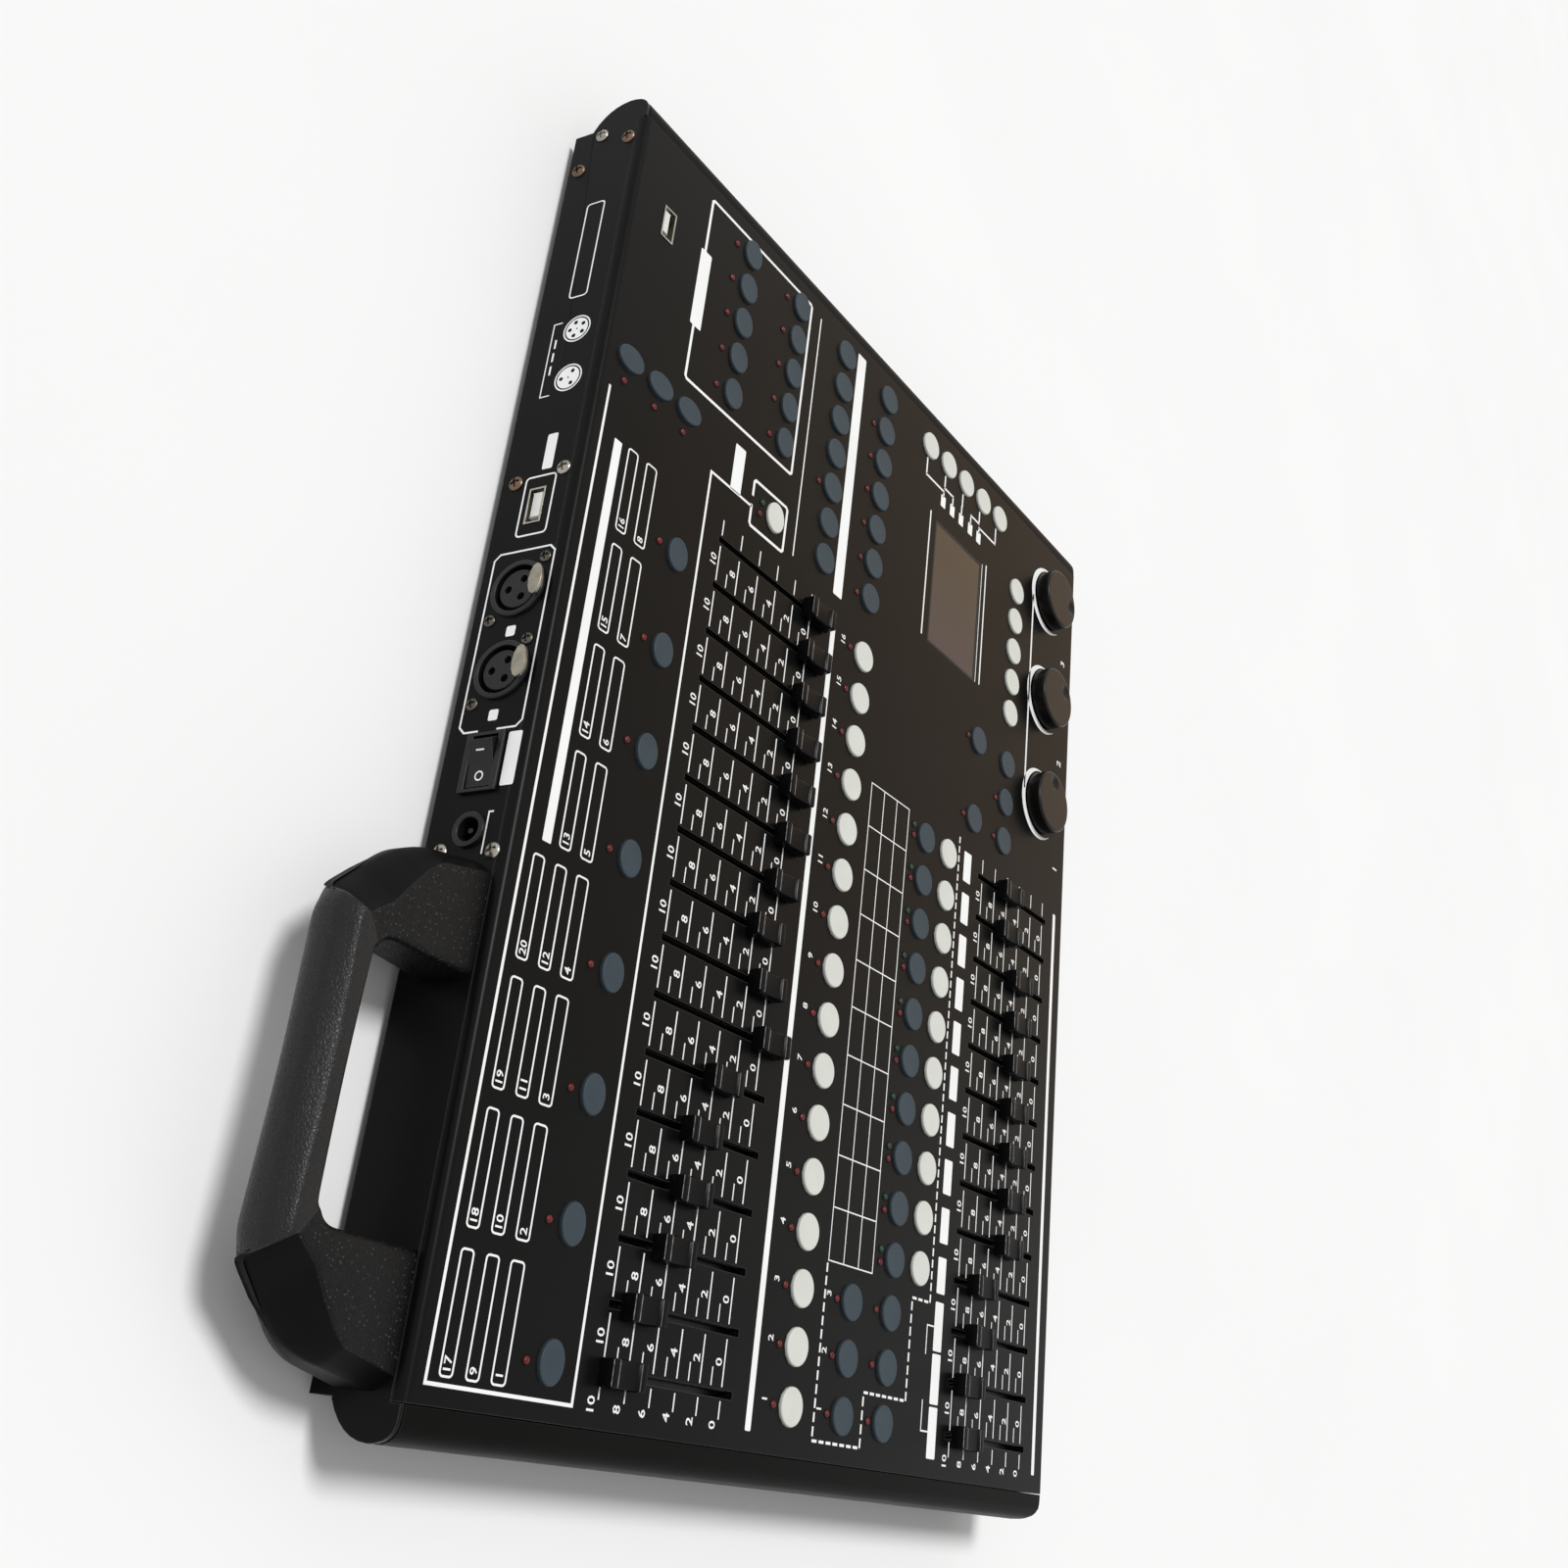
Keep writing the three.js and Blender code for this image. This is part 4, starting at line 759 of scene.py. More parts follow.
screw_bronze = coated("screw_bronze", (0.17, 0.115, 0.085), 0.36, 0.5, 0.1, 3, metallic=1.0,
                      tint_share=0.4)
screw_nickel = coated("screw_nickel", (0.36, 0.34, 0.3), 0.32, 0.5, 0.1, 3, metallic=1.0,
                      tint_share=0.3)
screw_dark = coated("screw_dark", (0.1, 0.09, 0.075), 0.34, 0.5, 0.1, 3, metallic=1.0,
                    tint_share=0.4)
SCREW_SEAT, SCREW_RIM, CROSS_SLANT, CROSS_HALF_SHARE = 0.02, 0.1, 0.3, 0.17
CROSS_REACH_SHARE, CROSS_DEPTH_SHARE, CROSS_FROM_SHARE = 0.68, 0.6, 0.4


def cross_screw(radius, height):
    """A round head with a sunk cross, its flat side on the panel: the dome's height falls as the
    cosine of its angle, and drops inside the cross's two bars."""
    dome = [(radius * np.sin(turn), SCREW_RIM + (height - SCREW_RIM) * np.cos(turn))
            for turn in np.radians(np.linspace(90, 0, 22))]
    points, quads = turned_profile([(0, SCREW_SEAT), (radius, SCREW_SEAT), *dome], 64)
    x, y, out = points.T / MM
    bar = np.minimum(np.abs(x + CROSS_SLANT * y), np.abs(y - CROSS_SLANT * x))
    sunk = ((bar < CROSS_HALF_SHARE * radius) & (np.hypot(x, y) < CROSS_REACH_SHARE * radius)
            & (out > CROSS_FROM_SHARE * height))
    out = out - np.where(sunk, CROSS_DEPTH_SHARE * height, 0)
    return np.stack([x, out, y], -1), quads[:, ::-1]


# each set's metal, radius and height, and its screws' places across and down
screw_sets = {
    "rear_screws_bronze": (screw_bronze, 2.9, 1.5, [(446.1, 28.4), (456.1, 7.2), (299.9, 27.1),
                                                    (35, 32.0)]),
    "rear_screws_nickel": (screw_nickel, 2.8, 1.5, [(12.6, 32.0), (461.4, 20.2), (302.4, 7.2),
                                                    (160.4, 26.8), (159.2, 5.8)]),
    "rear_screws_dark": (screw_dark, 2.3, 1.2, [(234.7, 8.6), (212.7, 26.2), (266.3, 7.6),
                                                (244.2, 26.1)]),
}
for name, (metal, radius, height, places) in screw_sets.items():
    points, quads = scattered(*cross_screw(radius, height), np.insert(places, 1, 0.0, axis=1))
    add_piece(name, mesh_of(name, rear_place(points), quads), [metal], "console")

# the rear print: outlines round the sockets, solid tags, and two connector pin drawings
REAR_LINE, REAR_FINE_LINE, REAR_BOX_CORNER, REAR_TAG_CORNER = 0.7, 0.6, 1.5, 0.7
rear_ink = Ink()
rear_ink.line([(158.5, 10.2), (172.8, 10.2), (172.8, 8.4)], REAR_FINE_LINE)
rear_ink.line([(202.3, 21.5), (202.3, 27.3), (204.5, 29.5), (268.4, 29.5), (270.6, 27.3),
               (270.6, 6.4), (268.4, 4.2), (204.5, 4.2), (202.3, 6.4), (202.3, 14)], REAR_LINE)
rear_ink.line(soft_box(276.8, 10, 301, 22.6, REAR_BOX_CORNER), REAR_LINE, closed=True)
rear_ink.line(soft_box(380.6, 12.6, 426, 20.4, REAR_BOX_CORNER), REAR_FINE_LINE, closed=True)
for x0, s0, x1, s1 in ((181.5, 3.0, 200.5, 8.4), (205.6, 14.6, 209.6, 18.4),
                       (236.9, 14.4, 240.9, 18.2), (303.6, 12.6, 318.6, 17)):
    rear_ink.filled(soft_box(x0, s0, x1, s1, REAR_TAG_CORNER))
DISC_RADIUS, DISC_RINGS, DISC_SIDES = 5.9, 30, 96
PIN_ORBIT, PIN_RADIUS, DISC_LINE_RADIUS, DISC_LINE_HALF = 3.1, 0.85, 5.0, 0.3
disc_turn = np.linspace(0, 2 * np.pi, DISC_SIDES, endpoint=False)
disc_reach = np.linspace(0.35, DISC_RADIUS, DISC_RINGS)[:, None]
disc = np.stack([disc_reach * np.cos(disc_turn), disc_reach * np.sin(disc_turn)], -1).reshape(-1, 2)
disc_quads = weave(DISC_RINGS, DISC_SIDES)
disc_middles = disc[disc_quads].mean(1)
for x, s, pins in ((342.7, 13.4, 3), (364.9, 13.8, 5)):
    pin_turn = np.pi / 2 + np.arange(pins) * 2 * np.pi / pins
    pin_places = PIN_ORBIT * np.stack([np.cos(pin_turn), np.sin(pin_turn)], -1)
    to_pins = np.linalg.norm(disc_middles[:, None] - pin_places, axis=2)
    to_line = np.abs(np.linalg.norm(disc_middles, axis=1) - DISC_LINE_RADIUS)
    printed = (to_pins.min(1) > PIN_RADIUS) & (to_line > DISC_LINE_HALF)
    rear_ink.add(disc + (x, s), disc_quads[printed])
rear_ink.line([(336.5, 20.5), (336.5, 24.6), (369.5, 24.6), (369.5, 20.9)], 0.5)
for x in (348, 354, 360):
    rear_ink.line([(x - 2, 22.4), (x + 2, 22.4)], 0.8)
add_piece("rear_print", rear_ink.mesh("rear_print", lambda p: rear_place(p, PRINT_LIFT)), [ink],
          "console")


# Carry handle. A hard rubber bow moulded with a leather grain, bolted to the rear panel by its two
# feet. The grip has a soft ridge along its top and is lower than the legs, which wide facets cut.
GRAIN_CELLS, GRAIN_DEPTH, FINE_GRAIN, FINE_SHARE = 880, 0.25, 2400, 0.35
grain_black = bpy.data.materials.new("leather_grained_rubber")
grain_black.use_nodes = True
tree = grain_black.node_tree
shader = tree.nodes["Principled BSDF"]
place = tree.nodes.new("ShaderNodeTexCoord").outputs["Object"]
stir = wire(tree, "ShaderNodeTexNoise", {"Vector": place, "Scale": 420})
stirred = wire(tree, "ShaderNodeMix", {"Factor": 0.002, "A": place, "B": stir.outputs["Color"]},
               data_type="VECTOR")
cells = wire(tree, "ShaderNodeTexVoronoi", {
    "Vector": stirred.outputs["Result"], "Scale": GRAIN_CELLS}, feature="DISTANCE_TO_EDGE")
crease = wire(tree, "ShaderNodeMapRange",
              {"From Max": 0.22, "Value": cells.outputs["Distance"]}).outputs["Result"]
speckle = wire(tree, "ShaderNodeTexNoise", {"Vector": place, "Scale": FINE_GRAIN})
relief = wire(tree, "ShaderNodeMath", {0: speckle.outputs["Fac"], 1: FINE_SHARE, 2: crease},
              operation="MULTIPLY_ADD")
bump = wire(tree, "ShaderNodeBump", {
    "Strength": 0.3, "Distance": GRAIN_DEPTH * MM, "Height": relief.outputs["Value"]})
tree.links.new(bump.outputs["Normal"], shader.inputs["Normal"])
# the grain's creases are painted darker than the cells between them, as painted shade
tone = wire(tree, "ShaderNodeValToRGB", {"Fac": crease})
tone.color_ramp.elements[0].color = (0.0016, 0.0016, 0.0016, 1)
tone.color_ramp.elements[1].color = (0.005, 0.0053, 0.0056, 1)
specks = wire(tree, "ShaderNodeTexVoronoi", {"Vector": place, "Scale": 640})
rare = wire(tree, "ShaderNodeMapRange", {
    "From Min": 0.2, "From Max": 0.1, "To Max": 0.45, "Value": specks.outputs["Distance"]})
dusted = wire(tree, "ShaderNodeMix", {
    "Factor": rare.outputs["Result"], "A": tone.outputs["Color"], "B": (0.13, 0.14, 0.15, 1)},
    name="dust", data_type="RGBA")
tree.links.new(dusted.outputs["Result"], shader.inputs["Base Color"])
rough = wire(tree, "ShaderNodeMapRange", {"To Min": 0.5, "To Max": 0.34, "Value": crease})
tree.links.new(rough.outputs["Result"], shader.inputs["Roughness"])
shader.inputs["Specular IOR Level"].default_value = 0.15

# the grip is the same rubber, polished by use and without the pale specks
polished_black = grain_black.copy()
polished_black.name = "polished_grip_rubber"
polished_black.node_tree.nodes["Principled BSDF"].inputs["Specular IOR Level"].default_value = 0.29
polished_black.node_tree.nodes["dust"].inputs["B"].default_value = (0.03, 0.03, 0.03, 1)
# the legs' facets and outer walls, turned from the lamp: smooth rubber painted darker, as painted
# shade
shaded_facet_black = coated("shaded_facet_rubber", (0.0016, 0.0016, 0.0016), 0.45, 0.6, 0.15, 12,
                     specular=0.08)


def rounded_path(corners, steps):
    """Straight runs joined by quadratic bends, (1 - t)^2 start + 2 t (1 - t) corner + t^2 end:
    corners are x, y and how far each is rounded back."""
    corners = np.asarray(corners, float)
    places = corners[:, :2]
    t = np.linspace(0, 1, steps)[:, None]
    path = [places[:1]]
    for before, (x, y, back), after in zip(places[:-2], corners[1:-1], places[2:]):
        here = np.array([x, y])
        start = here + (before - here) / np.linalg.norm(before - here) * back
        end = here + (after - here) / np.linalg.norm(after - here) * back
        path.append((1 - t) ** 2 * start + 2 * t * (1 - t) * here + t ** 2 * end)
    path.append(places[-1:])
    return np.concatenate(path)


def along_path(path, shares):
    """Points at the given shares of a path's length."""
    length = np.concatenate([[0], np.cumsum(np.linalg.norm(np.diff(path, axis=0), axis=1))])
    return np.stack([np.interp(shares * length[-1], length, path[:, axis]) for axis in (0, 1)], -1)


# the bow's outer and inner edges in plan, as x, reach and how far each corner is rounded back
HANDLE_CENTRE, HANDLE_TOP, HANDLE_HEIGHT, GRIP_HEIGHT_SHARE = 79.0, 4.5, 24.0, 0.74
HANDLE_REACH, HANDLE_INNER_REACH, HANDLE_INNER_HALF = 53.0, 40.5, 39.5
HANDLE_SEAT, HANDLE_STEPS, BEND_STEPS = 0.3, 100, 14
shares = np.linspace(0, 1, HANDLE_STEPS)
outer = along_path(rounded_path([(77, HANDLE_SEAT, 0), (72, 28, 8), (49, HANDLE_REACH, 7),
                                 (0, HANDLE_REACH, 0)], BEND_STEPS), shares)
inner = along_path(rounded_path([(HANDLE_INNER_HALF, HANDLE_SEAT, 0),
                                 (HANDLE_INNER_HALF, HANDLE_INNER_REACH, 9),
                                 (0, HANDLE_INNER_REACH, 0)], BEND_STEPS), shares)
outer = np.concatenate([outer, outer[-2::-1] * (-1, 1)])
inner = np.concatenate([inner, inner[-2::-1] * (-1, 1)])
along = np.concatenate([shares, shares[-2::-1]])
span = np.linalg.norm(outer - inner, axis=1)[:, None]
middle = (outer + inner) / 2
tall = HANDLE_HEIGHT * (1 - (1 - GRIP_HEIGHT_SHARE) * np.clip(middle[:, 1:] / HANDLE_REACH, 0, 1))

# the outer top edge: on a leg a wide sloping facet that ends in a crease, on the grip a soft ridge
facet_shares = [0, 0.2, 0.3, 0.42, 0.54, 1]
facet_across = np.interp(along, facet_shares, [4.5, 5.5, 9.5, 11.5, 9.5, 9.5])[:, None]
facet_down = np.interp(along, facet_shares, [7, 8, 13, 15, 14.5, 14.5])[:, None]
leg_edge = np.array([(0, -1.13), (0, -1.04), (-0.02, -0.97), (-0.06, -0.9), (-0.3, -0.64),
                     (-0.62, -0.36), (-0.93, -0.09), (-0.985, -0.02), (-1.12, 0)])
grip_edge = np.array([(0, -8.4), (-0.1, -7.2), (-0.5, -5.8), (-1.3, -4.4), (-2.6, -2.7),
                      (-3.9, -1.2), (-4.9, -0.4), (-5.7, -0.08), (-7.0, 0)])
GRIP_START, GRIP_BLEND = 0.53, 0.035
grip = np.clip((along - GRIP_START) / GRIP_BLEND, 0, 1)[:, None, None]
grip = grip * grip * (3 - 2 * grip)
scaled = leg_edge[None] * np.stack([facet_across, facet_down], -1)
outer_top = scaled * (1 - grip) + grip_edge[None] * grip

# the other three edges are quarter rounds whose radii grow from the legs to the grip
round_turn = np.radians(np.linspace(0, 90, 9))
quarter = np.stack([-(1 - np.cos(round_turn)), -(1 - np.sin(round_turn))], -1)
LEG_TOP_ROUND, LEG_FOOT_ROUND, LEG_INNER_ROUND = 2.6, 5.5, 4.5
GRIP_TOP_GROWS, GRIP_FOOT_GROWS, GRIP_INNER_GROWS = 1.6, (0.5, 2.5), 1.2
soft = grip ** 0.5
inner_top = quarter * (LEG_TOP_ROUND + GRIP_TOP_GROWS * soft)
outer_foot = quarter * (LEG_FOOT_ROUND + np.array(GRIP_FOOT_GROWS) * soft)
inner_foot = quarter * (LEG_INNER_ROUND + GRIP_INNER_GROWS * soft)
section = np.concatenate([
    np.stack([side * (span / 2 + edge[..., 0]), rise * (tall / 2 + edge[..., 1])], -1)
    for side, rise, edge in ((1, 1, outer_top), (-1, 1, inner_top[:, ::-1]), (-1, -1, inner_foot),
                             (1, -1, outer_foot[:, ::-1]))], axis=1)
direction = (outer - inner) / span
flat = middle[:, None] + direction[:, None] * section[..., :1]
bow = np.stack([HANDLE_CENTRE + flat[..., 0], flat[..., 1],
                HANDLE_TOP + tall / 2 - section[..., 1]], -1)
bow_rows, bow_ring = section.shape[:2]
bow_ends = (np.arange(bow_ring), np.arange(bow_ring)[::-1] + bow_ring * (bow_rows - 1))
bow_mesh = mesh_of("handle_bow", rear_place(bow.reshape(-1, 3)),
                   weave(bow_rows, bow_ring)[:, ::-1], bow_ends)
add_piece("handle_bow", bow_mesh, [grain_black, shaded_facet_black, polished_black], "console",
          ["carry_handle"], sharp_degrees=42)

# on the legs the facet and the outer wall are smooth and painted darker as painted shade, the rest
# is grained; the grip is polished
FACET_END = 6
on_leg = np.repeat(grip[:-1, 0, 0] + grip[1:, 0, 0] < 1, bow_ring)
smooth_ring = (np.arange(bow_ring) < FACET_END) | (np.arange(bow_ring) == bow_ring - 1)
for face, leg, dark in zip(bow_mesh.polygons, on_leg, np.tile(smooth_ring, bow_rows - 1)):
    face.material_index = int(dark) if leg else 2


# Rear sockets. Black plastic three-pole sockets with a sprung nickel tab, a round power inlet, a
# rocker switch in its frame, and a plated data socket with a white tongue; all are clipped or
# screwed in.
socket_black = coated("socket_plastic", (0.005, 0.005, 0.005), 0.36, 0.4, 0.08, 6, specular=0.3,
                      edge_wear_and_highlight=0.4)
plated = coated("nickel_plate", (0.3, 0.28, 0.23), 0.34, 0.6, 0.06, 4, metallic=1.0, tint_share=0.2)
bright_plate = coated("tin_plate", (0.4, 0.38, 0.33), 0.3, 0.6, 0.06, 4, metallic=1.0,
                      tint_share=0.15)
white_plastic = coated("white_tongue", (0.7, 0.7, 0.68), 0.5, 0.4, 0.05, 3, tint_share=0.05)
SOCKET_ROW, SOCKET_SIDES = 16.57, 96
PIN_HOLE_ORBIT, PIN_HOLE_RADIUS, PIN_HOLE_DEPTH = 3.9, 1.4, 3.0


def turned_out(profile, across, holes=(), face_radius=0):
    """A profile of radius and outward height turned about a line square to the rear panel:
    x = r cos u, down = r sin u; points of its face that lie inside a hole sink by its depth."""
    points, quads = turned_profile(profile, SOCKET_SIDES)
    points = np.stack([points[:, 0], points[:, 2], points[:, 1]], -1) / MM
    on_face = (np.hypot(points[:, 0], points[:, 2]) < face_radius) & (points[:, 1] > -1)
    for x, down in holes:
        inside = np.hypot(points[:, 0] - x, points[:, 2] - down) < PIN_HOLE_RADIUS
        points[:, 1] -= np.where(inside & on_face, PIN_HOLE_DEPTH, 0)
    return rear_place(points + (across, 0, SOCKET_ROW)), quads[:, ::-1]


def middle_across(node):
    """How far the middle of a node lies from the deck's left edge, in millimetres."""
    low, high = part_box(node)
    return ((low.x + high.x) / 2 - deck_left) / MM


SOCKET_BARREL, SOCKET_BACK, SEAT = 9.6, -18, 0.02
RIM, RIM_PROUD, RIM_EASE = 10.8, 1.3, 0.6
GROOVE_OUT, GROOVE_IN, GROOVE_FLOOR, GROOVE_EASE = 8.9, 7.4, -5.0, 0.25
FACE_OUT, FACE_EASE = 0.5, 0.3
rim_turn = np.radians(np.linspace(0, 90, 5))[1:]
rim_profile = [(0, SOCKET_BACK), (SOCKET_BARREL, SOCKET_BACK), (SOCKET_BARREL, SEAT), (RIM, SEAT),
               (RIM, RIM_PROUD - RIM_EASE)]
rim_profile += [(RIM - RIM_EASE * (1 - np.cos(turn)),
                 RIM_PROUD - RIM_EASE + RIM_EASE * np.sin(turn)) for turn in rim_turn]
rim_profile += [(GROOVE_OUT + GROOVE_EASE, RIM_PROUD), (GROOVE_OUT, RIM_PROUD - GROOVE_EASE),
                (GROOVE_OUT, GROOVE_FLOOR), (GROOVE_IN, GROOVE_FLOOR),
                (GROOVE_IN, FACE_OUT - FACE_EASE), (GROOVE_IN - FACE_EASE, FACE_OUT)]
rim_profile += [(r, FACE_OUT) for r in np.linspace(GROOVE_IN - FACE_EASE, 0, 36)[1:]]
pin_holes = [(PIN_HOLE_ORBIT * np.cos(turn), PIN_HOLE_ORBIT * np.sin(turn))
             for turn in np.radians((90, 210, 330))]
for letter in "ab":
    node = f"xlr_socket_{letter}"
    points, quads = turned_out(rim_profile, middle_across(node), pin_holes, GROOVE_IN - 0.4)
    add_piece(f"socket_{letter}_shell", mesh_of(node, points, quads), [socket_black], "console",
              [node])
    tab = f"latch_tab_{letter}"
    settled(tab, f"socket_{letter}_latch", plated, tab, 0.25)

# the power inlet: an eased collar round a bore that narrows to the back, with a pin in its middle
JACK, JACK_PROUD, JACK_EASE, JACK_BARREL, JACK_BACK = 6.1, 1.4, 0.4, 4.2, -13
JACK_BORE, BORE_EASE, BORE_END, BORE_FLOOR, PIN_HALF = 4.4, 0.3, 3.0, -9.0, 1.0
jack_profile = [(0, JACK_BACK), (JACK_BARREL, JACK_BACK), (JACK_BARREL, SEAT), (JACK, SEAT),
                (JACK, JACK_PROUD - JACK_EASE)]
jack_profile += [(JACK - JACK_EASE * (1 - np.cos(turn)),
                  JACK_PROUD - JACK_EASE + JACK_EASE * np.sin(turn)) for turn in rim_turn]
jack_profile += [(JACK_BORE, JACK_PROUD), (JACK_BORE - BORE_EASE, JACK_PROUD - BORE_EASE),
                 (BORE_END, BORE_FLOOR), (PIN_HALF, BORE_FLOOR), (PIN_HALF, -0.4),
                 (PIN_HALF - 0.2, -0.2), (0, -0.2)]
points, quads = turned_out(jack_profile, middle_across("dc_jack"))
add_piece("power_inlet", mesh_of("power_inlet", points, quads), [socket_black], "console",
          ["dc_jack"])
settled("power_switch_body", "switch_frame", socket_black, "console", 0.25)
settled("power_rocker", "switch_rocker", socket_black, "power_rocker", 0.3)
settled("usb_data_socket", "data_socket_shell", bright_plate, "console", 0.1)

# the lamp socket's shell stands the other way round: each point goes through its middle in plan
lamp_shell = settled("usb_lamp_socket", "lamp_socket_shell", bright_plate, "console", 0.1)
lamp_low, lamp_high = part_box("usb_lamp_socket")
lamp_sum = lamp_low + lamp_high
for corner in lamp_shell.data.vertices:
    corner.co.x, corner.co.y = lamp_sum.x - corner.co.x, lamp_sum.y - corner.co.y

# a white sleeve with eased ends stands over the tongue of the data and the lamp socket
SLEEVE_HALF, SLEEVE_INNER, SLEEVE_OUTER = 4.9, -8.5, -0.35
SLEEVE_LOW, SLEEVE_HIGH, SLEEVE_EASE = 0.35, 2.75, 0.2
DATA_FORWARD, DATA_DROP, DATA_TALLER = 0.75, 1.9, 1.65
LAMP_LIFT, LAMP_DROP, LAMP_TALLER = 0.6, 0.6, 1.25
sleeve_profile = [(SLEEVE_LOW, SLEEVE_INNER), (SLEEVE_LOW, SLEEVE_OUTER - SLEEVE_EASE),
                  (SLEEVE_LOW + SLEEVE_EASE, SLEEVE_OUTER),
                  (SLEEVE_HIGH - SLEEVE_EASE, SLEEVE_OUTER),
                  (SLEEVE_HIGH, SLEEVE_OUTER - SLEEVE_EASE), (SLEEVE_HIGH, SLEEVE_INNER)]
sleeve, sleeve_quads, sleeve_ends = across_loft(
    sleeve_profile, [(-SLEEVE_HALF, SLEEVE_EASE), (-SLEEVE_HALF + SLEEVE_EASE, 0.0),
                     (SLEEVE_HALF - SLEEVE_EASE, 0.0), (SLEEVE_HALF, SLEEVE_EASE)])
data_sleeve = rear_place(np.stack([
    sleeve[:, 0] / MM + middle_across("usb_data_socket"), sleeve[:, 2] / MM + DATA_FORWARD,
    SOCKET_ROW + DATA_DROP - DATA_TALLER * sleeve[:, 1] / MM], -1))
lamp_sleeve = np.stack([
    lamp_sum.x / 2 - sleeve[:, 0], lamp_sum.y / 2 + sleeve[:, 1] * LAMP_TALLER - LAMP_DROP * MM,
    deck_top + sleeve[:, 2] + LAMP_LIFT * MM], -1)
for name, points in (("data_socket_sleeve", data_sleeve), ("lamp_socket_sleeve", lamp_sleeve)):
    add_piece(name, mesh_of(name, points, sleeve_quads, sleeve_ends), [white_plastic], "console")

# the switch's marks: a bar for on and a ring for off, printed on the rocker's two faces
ROCKER_HALF, ROCKER_MIDDLE_OUT, ROCKER_END_OUT = 7.794, 3.2, 4.5
ROCKER_PIVOT_IN, ROCKER_SWING, MARK_LIFT = 2, np.radians(12), 0.04
ring_turn = np.linspace(0, 2 * np.pi, 32, endpoint=False)
mark_ink = Ink()
mark_ink.line([(4.4, -1.6), (4.4, 1.6)], 0.55)
mark_ring = np.stack([-4.2 + 1.45 * np.cos(ring_turn), 1.45 * np.sin(ring_turn)], -1)
mark_ink.line(mark_ring, 0.5, closed=True)


def on_rocker(points):
    """Lifts flat marks on to the rocker's two sloping faces, out = middle + |x| slope, then swings
    them to its rest side."""
    x, down = points.T
    slope = (ROCKER_END_OUT - ROCKER_MIDDLE_OUT) / ROCKER_HALF
    out = ROCKER_MIDDLE_OUT + np.abs(x) * slope + MARK_LIFT
    swung_x = x * np.cos(ROCKER_SWING) - out * np.sin(ROCKER_SWING)
    swung_out = x * np.sin(ROCKER_SWING) + out * np.cos(ROCKER_SWING) - ROCKER_PIVOT_IN
    return rear_place(np.stack([middle_across("power_switch_body") + swung_x, swung_out,
                                SOCKET_ROW + down], -1))


add_piece("switch_marks", mark_ink.mesh("switch_marks", on_rocker), [ink], "power_rocker")


# Side rails. Extruded black plastic rails with a rounded face, screwed along both sides of the
# case.
rail_plastic = coated("rail_plastic", (0.0035, 0.0033, 0.003), 0.45, 0.4, 0.08, 35, specular=0.05,
                      edge_wear_and_highlight=0.3)
settled("side_rail_left", "left_rail", rail_plastic, "console", 0.25)
settled("side_rail_right", "right_rail", rail_plastic, "console", 0.25)


# Bottom tray and feet. A folded steel tray in the same powder coat closes the case from below.
# Four ribbed rubber feet are pushed over its round bosses.
settled("bottom_tray", "tray_sheet", steel_black, "console", 0.2)
foot_rubber = coated("foot_rubber", (0.018, 0.018, 0.018), 0.8, 0.3, 0.2, 8, specular=0.3)
DECK_WIDTH, FOOT_INSET, FOOT_SIDES = 465.0, 32.0, 48
foot_profile = [(0, 0.0), (6.2, 0.0), (6.5, 0.5), (7.4, 0.5), (7.7, 0.0), (8.4, 0.0), (9.1, 0.5),
                (9.3, 1.4), (8.9, 3.4), (8.6, 3.9), (0, 3.95)]
feet = [(deck_left + x * MM, deck_rear - f * MM, 0) for x in (FOOT_INSET, DECK_WIDTH - FOOT_INSET)
        for f in (FOOT_INSET, DECK_DEPTH - FOOT_INSET)]
points, quads = scattered(*turned_profile(foot_profile, FOOT_SIDES), np.array(feet))
add_piece("rubber_feet", mesh_of("rubber_feet", points, quads), [foot_rubber], "console")


# Main board. A green glass-fibre board under the deck, with the slide potentiometers and wheel
# encoders in black cases on it; all above the board's top face is painted black, which is the
# cases' colour and also painted shade seen down the slots.
BOARD_TOP = 1.7


def above_board(tree, place):
    """One above the board's own top face, nought below it."""
    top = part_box("main_board")[0].z + BOARD_TOP * MM
    above = wire(tree, "ShaderNodeMath", {0: place["Z"], 1: top}, operation="GREATER_THAN")
    return above.outputs["Value"]


board_finish = coated("circuit_board", (0.012, 0.09, 0.04), 0.4, 0.8, 0.1, 12, specular=0.4)
painted_over(board_finish, (0.004, 0.004, 0.004, 1), above_board)
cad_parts["main_board"].material_slots[0].material = board_finish


# Floor and light. A plain pale floor and soft studio light: a white surround, warmer towards the
# front right, and one broad soft lamp high over the right rear corner.
FLOOR_HALF = 30
floor_corners = [(-FLOOR_HALF, -FLOOR_HALF, 0), (FLOOR_HALF, -FLOOR_HALF, 0),
                 (FLOOR_HALF, FLOOR_HALF, 0), (-FLOOR_HALF, FLOOR_HALF, 0)]
floor_mesh = bpy.data.meshes.new("floor")
floor_mesh.from_pydata(floor_corners, [], [(0, 1, 2, 3)])
floor = bpy.data.objects.new("floor", floor_mesh)
bpy.context.collection.objects.link(floor)
floor_paint = coated("floor_paint", (0.93, 0.93, 0.93), 0.9, 2.0, 0.02, 300, specular=0.0,
                     tint_share=0.01)
floor_mesh.materials.append(floor_paint)

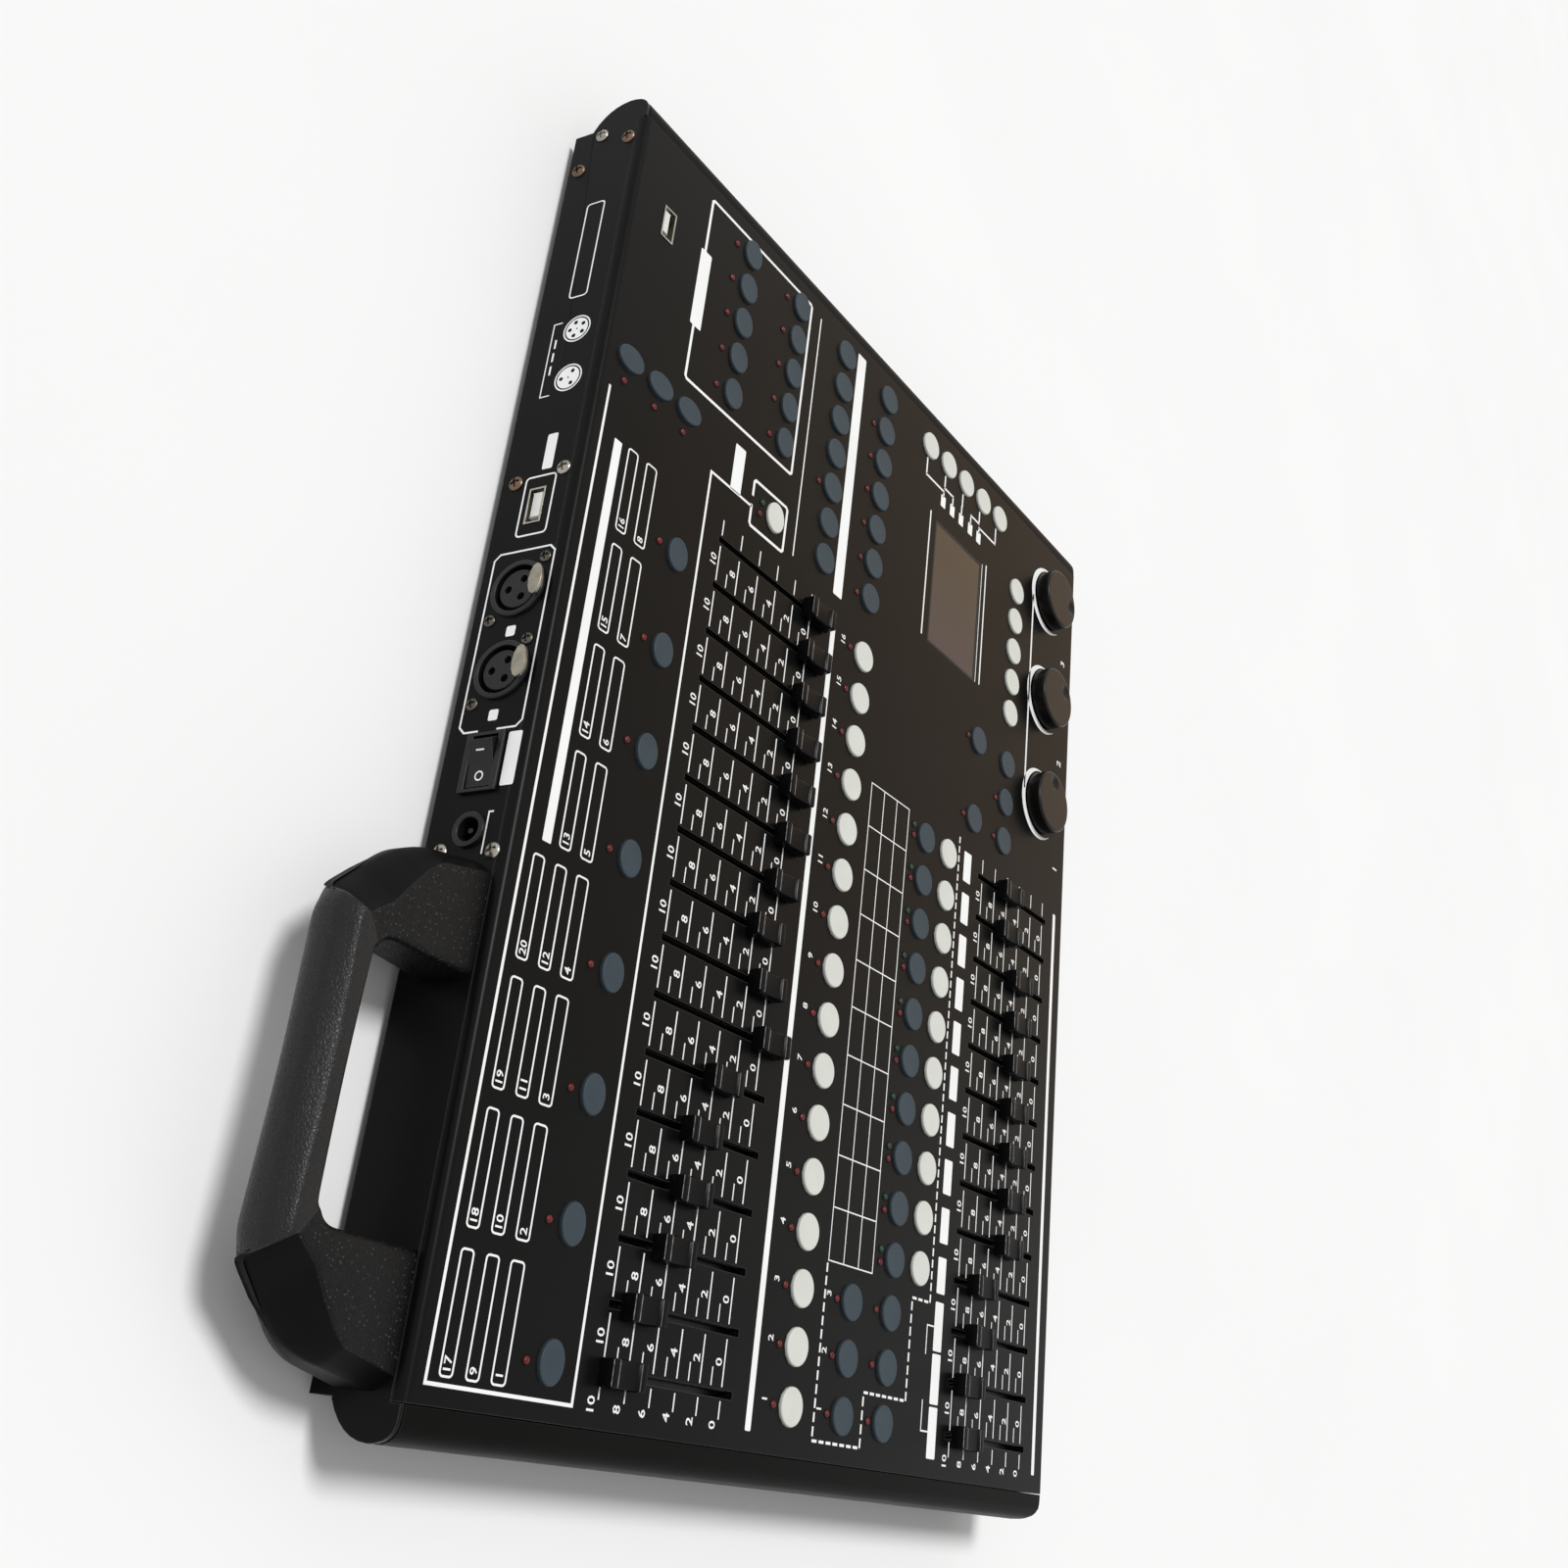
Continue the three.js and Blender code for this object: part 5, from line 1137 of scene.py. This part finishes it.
world = bpy.data.worlds.new("studio")
bpy.context.scene.world = world
world.use_nodes = True
tree = world.node_tree
background = tree.nodes["Background"]
ray = tree.nodes.new("ShaderNodeLightPath").outputs

# the warm patch of the surround, by how near a direction comes to it; the camera doesn't see it
WARM_SIDE, WARM_WHITE = Vector((0.51, -0.76, 0.4)), (1, 0.74, 0.52, 1)
heading = tree.nodes.new("ShaderNodeTexCoord").outputs["Generated"]
towards = wire(tree, "ShaderNodeVectorMath", {0: heading, 1: WARM_SIDE.normalized()},
               operation="DOT_PRODUCT")
warmth = wire(tree, "ShaderNodeMapRange", {
    "From Min": 0.92, "From Max": 0.99, "Value": towards.outputs["Value"]})
unseen = wire(tree, "ShaderNodeMath", {0: 1.0, 1: ray["Is Camera Ray"]}, operation="SUBTRACT",
              use_clamp=True)
patch = wire(tree, "ShaderNodeMath", {0: warmth.outputs["Result"], 1: unseen.outputs["Value"]},
             operation="MULTIPLY")
wall = wire(tree, "ShaderNodeMix", {
    "Factor": patch.outputs["Value"], "A": (1, 1, 1, 1), "B": WARM_WHITE}, data_type="RGBA")
tree.links.new(wall.outputs["Result"], background.inputs["Color"])

# the surround is full white where it is seen, mirrored or seen through, and weaker as a light
LIGHT_STRENGTH, SEEN_STRENGTH = 0.45, 1.0
mirrored = wire(tree, "ShaderNodeMath", {0: ray["Is Glossy Ray"], 1: ray["Is Transmission Ray"]},
                operation="MAXIMUM")
seen = wire(tree, "ShaderNodeMath", {0: ray["Is Camera Ray"], 1: mirrored.outputs["Value"]},
            operation="MAXIMUM")
strength = wire(tree, "ShaderNodeMapRange", {
    "To Min": LIGHT_STRENGTH, "To Max": SEEN_STRENGTH, "Value": seen.outputs["Value"]})
tree.links.new(strength.outputs["Result"], background.inputs["Strength"])

lamp_data = bpy.data.lights.new("soft_lamp", "SUN")
lamp_data.energy = 2.0
lamp_data.angle = np.radians(16)
lamp = bpy.data.objects.new("soft_lamp", lamp_data)
lamp.rotation_euler = Vector((-0.35, -0.25, -0.9)).to_track_quat("-Z", "Y").to_euler()
bpy.context.collection.objects.link(lamp)

bpy.context.scene.view_settings.view_transform = "Standard"
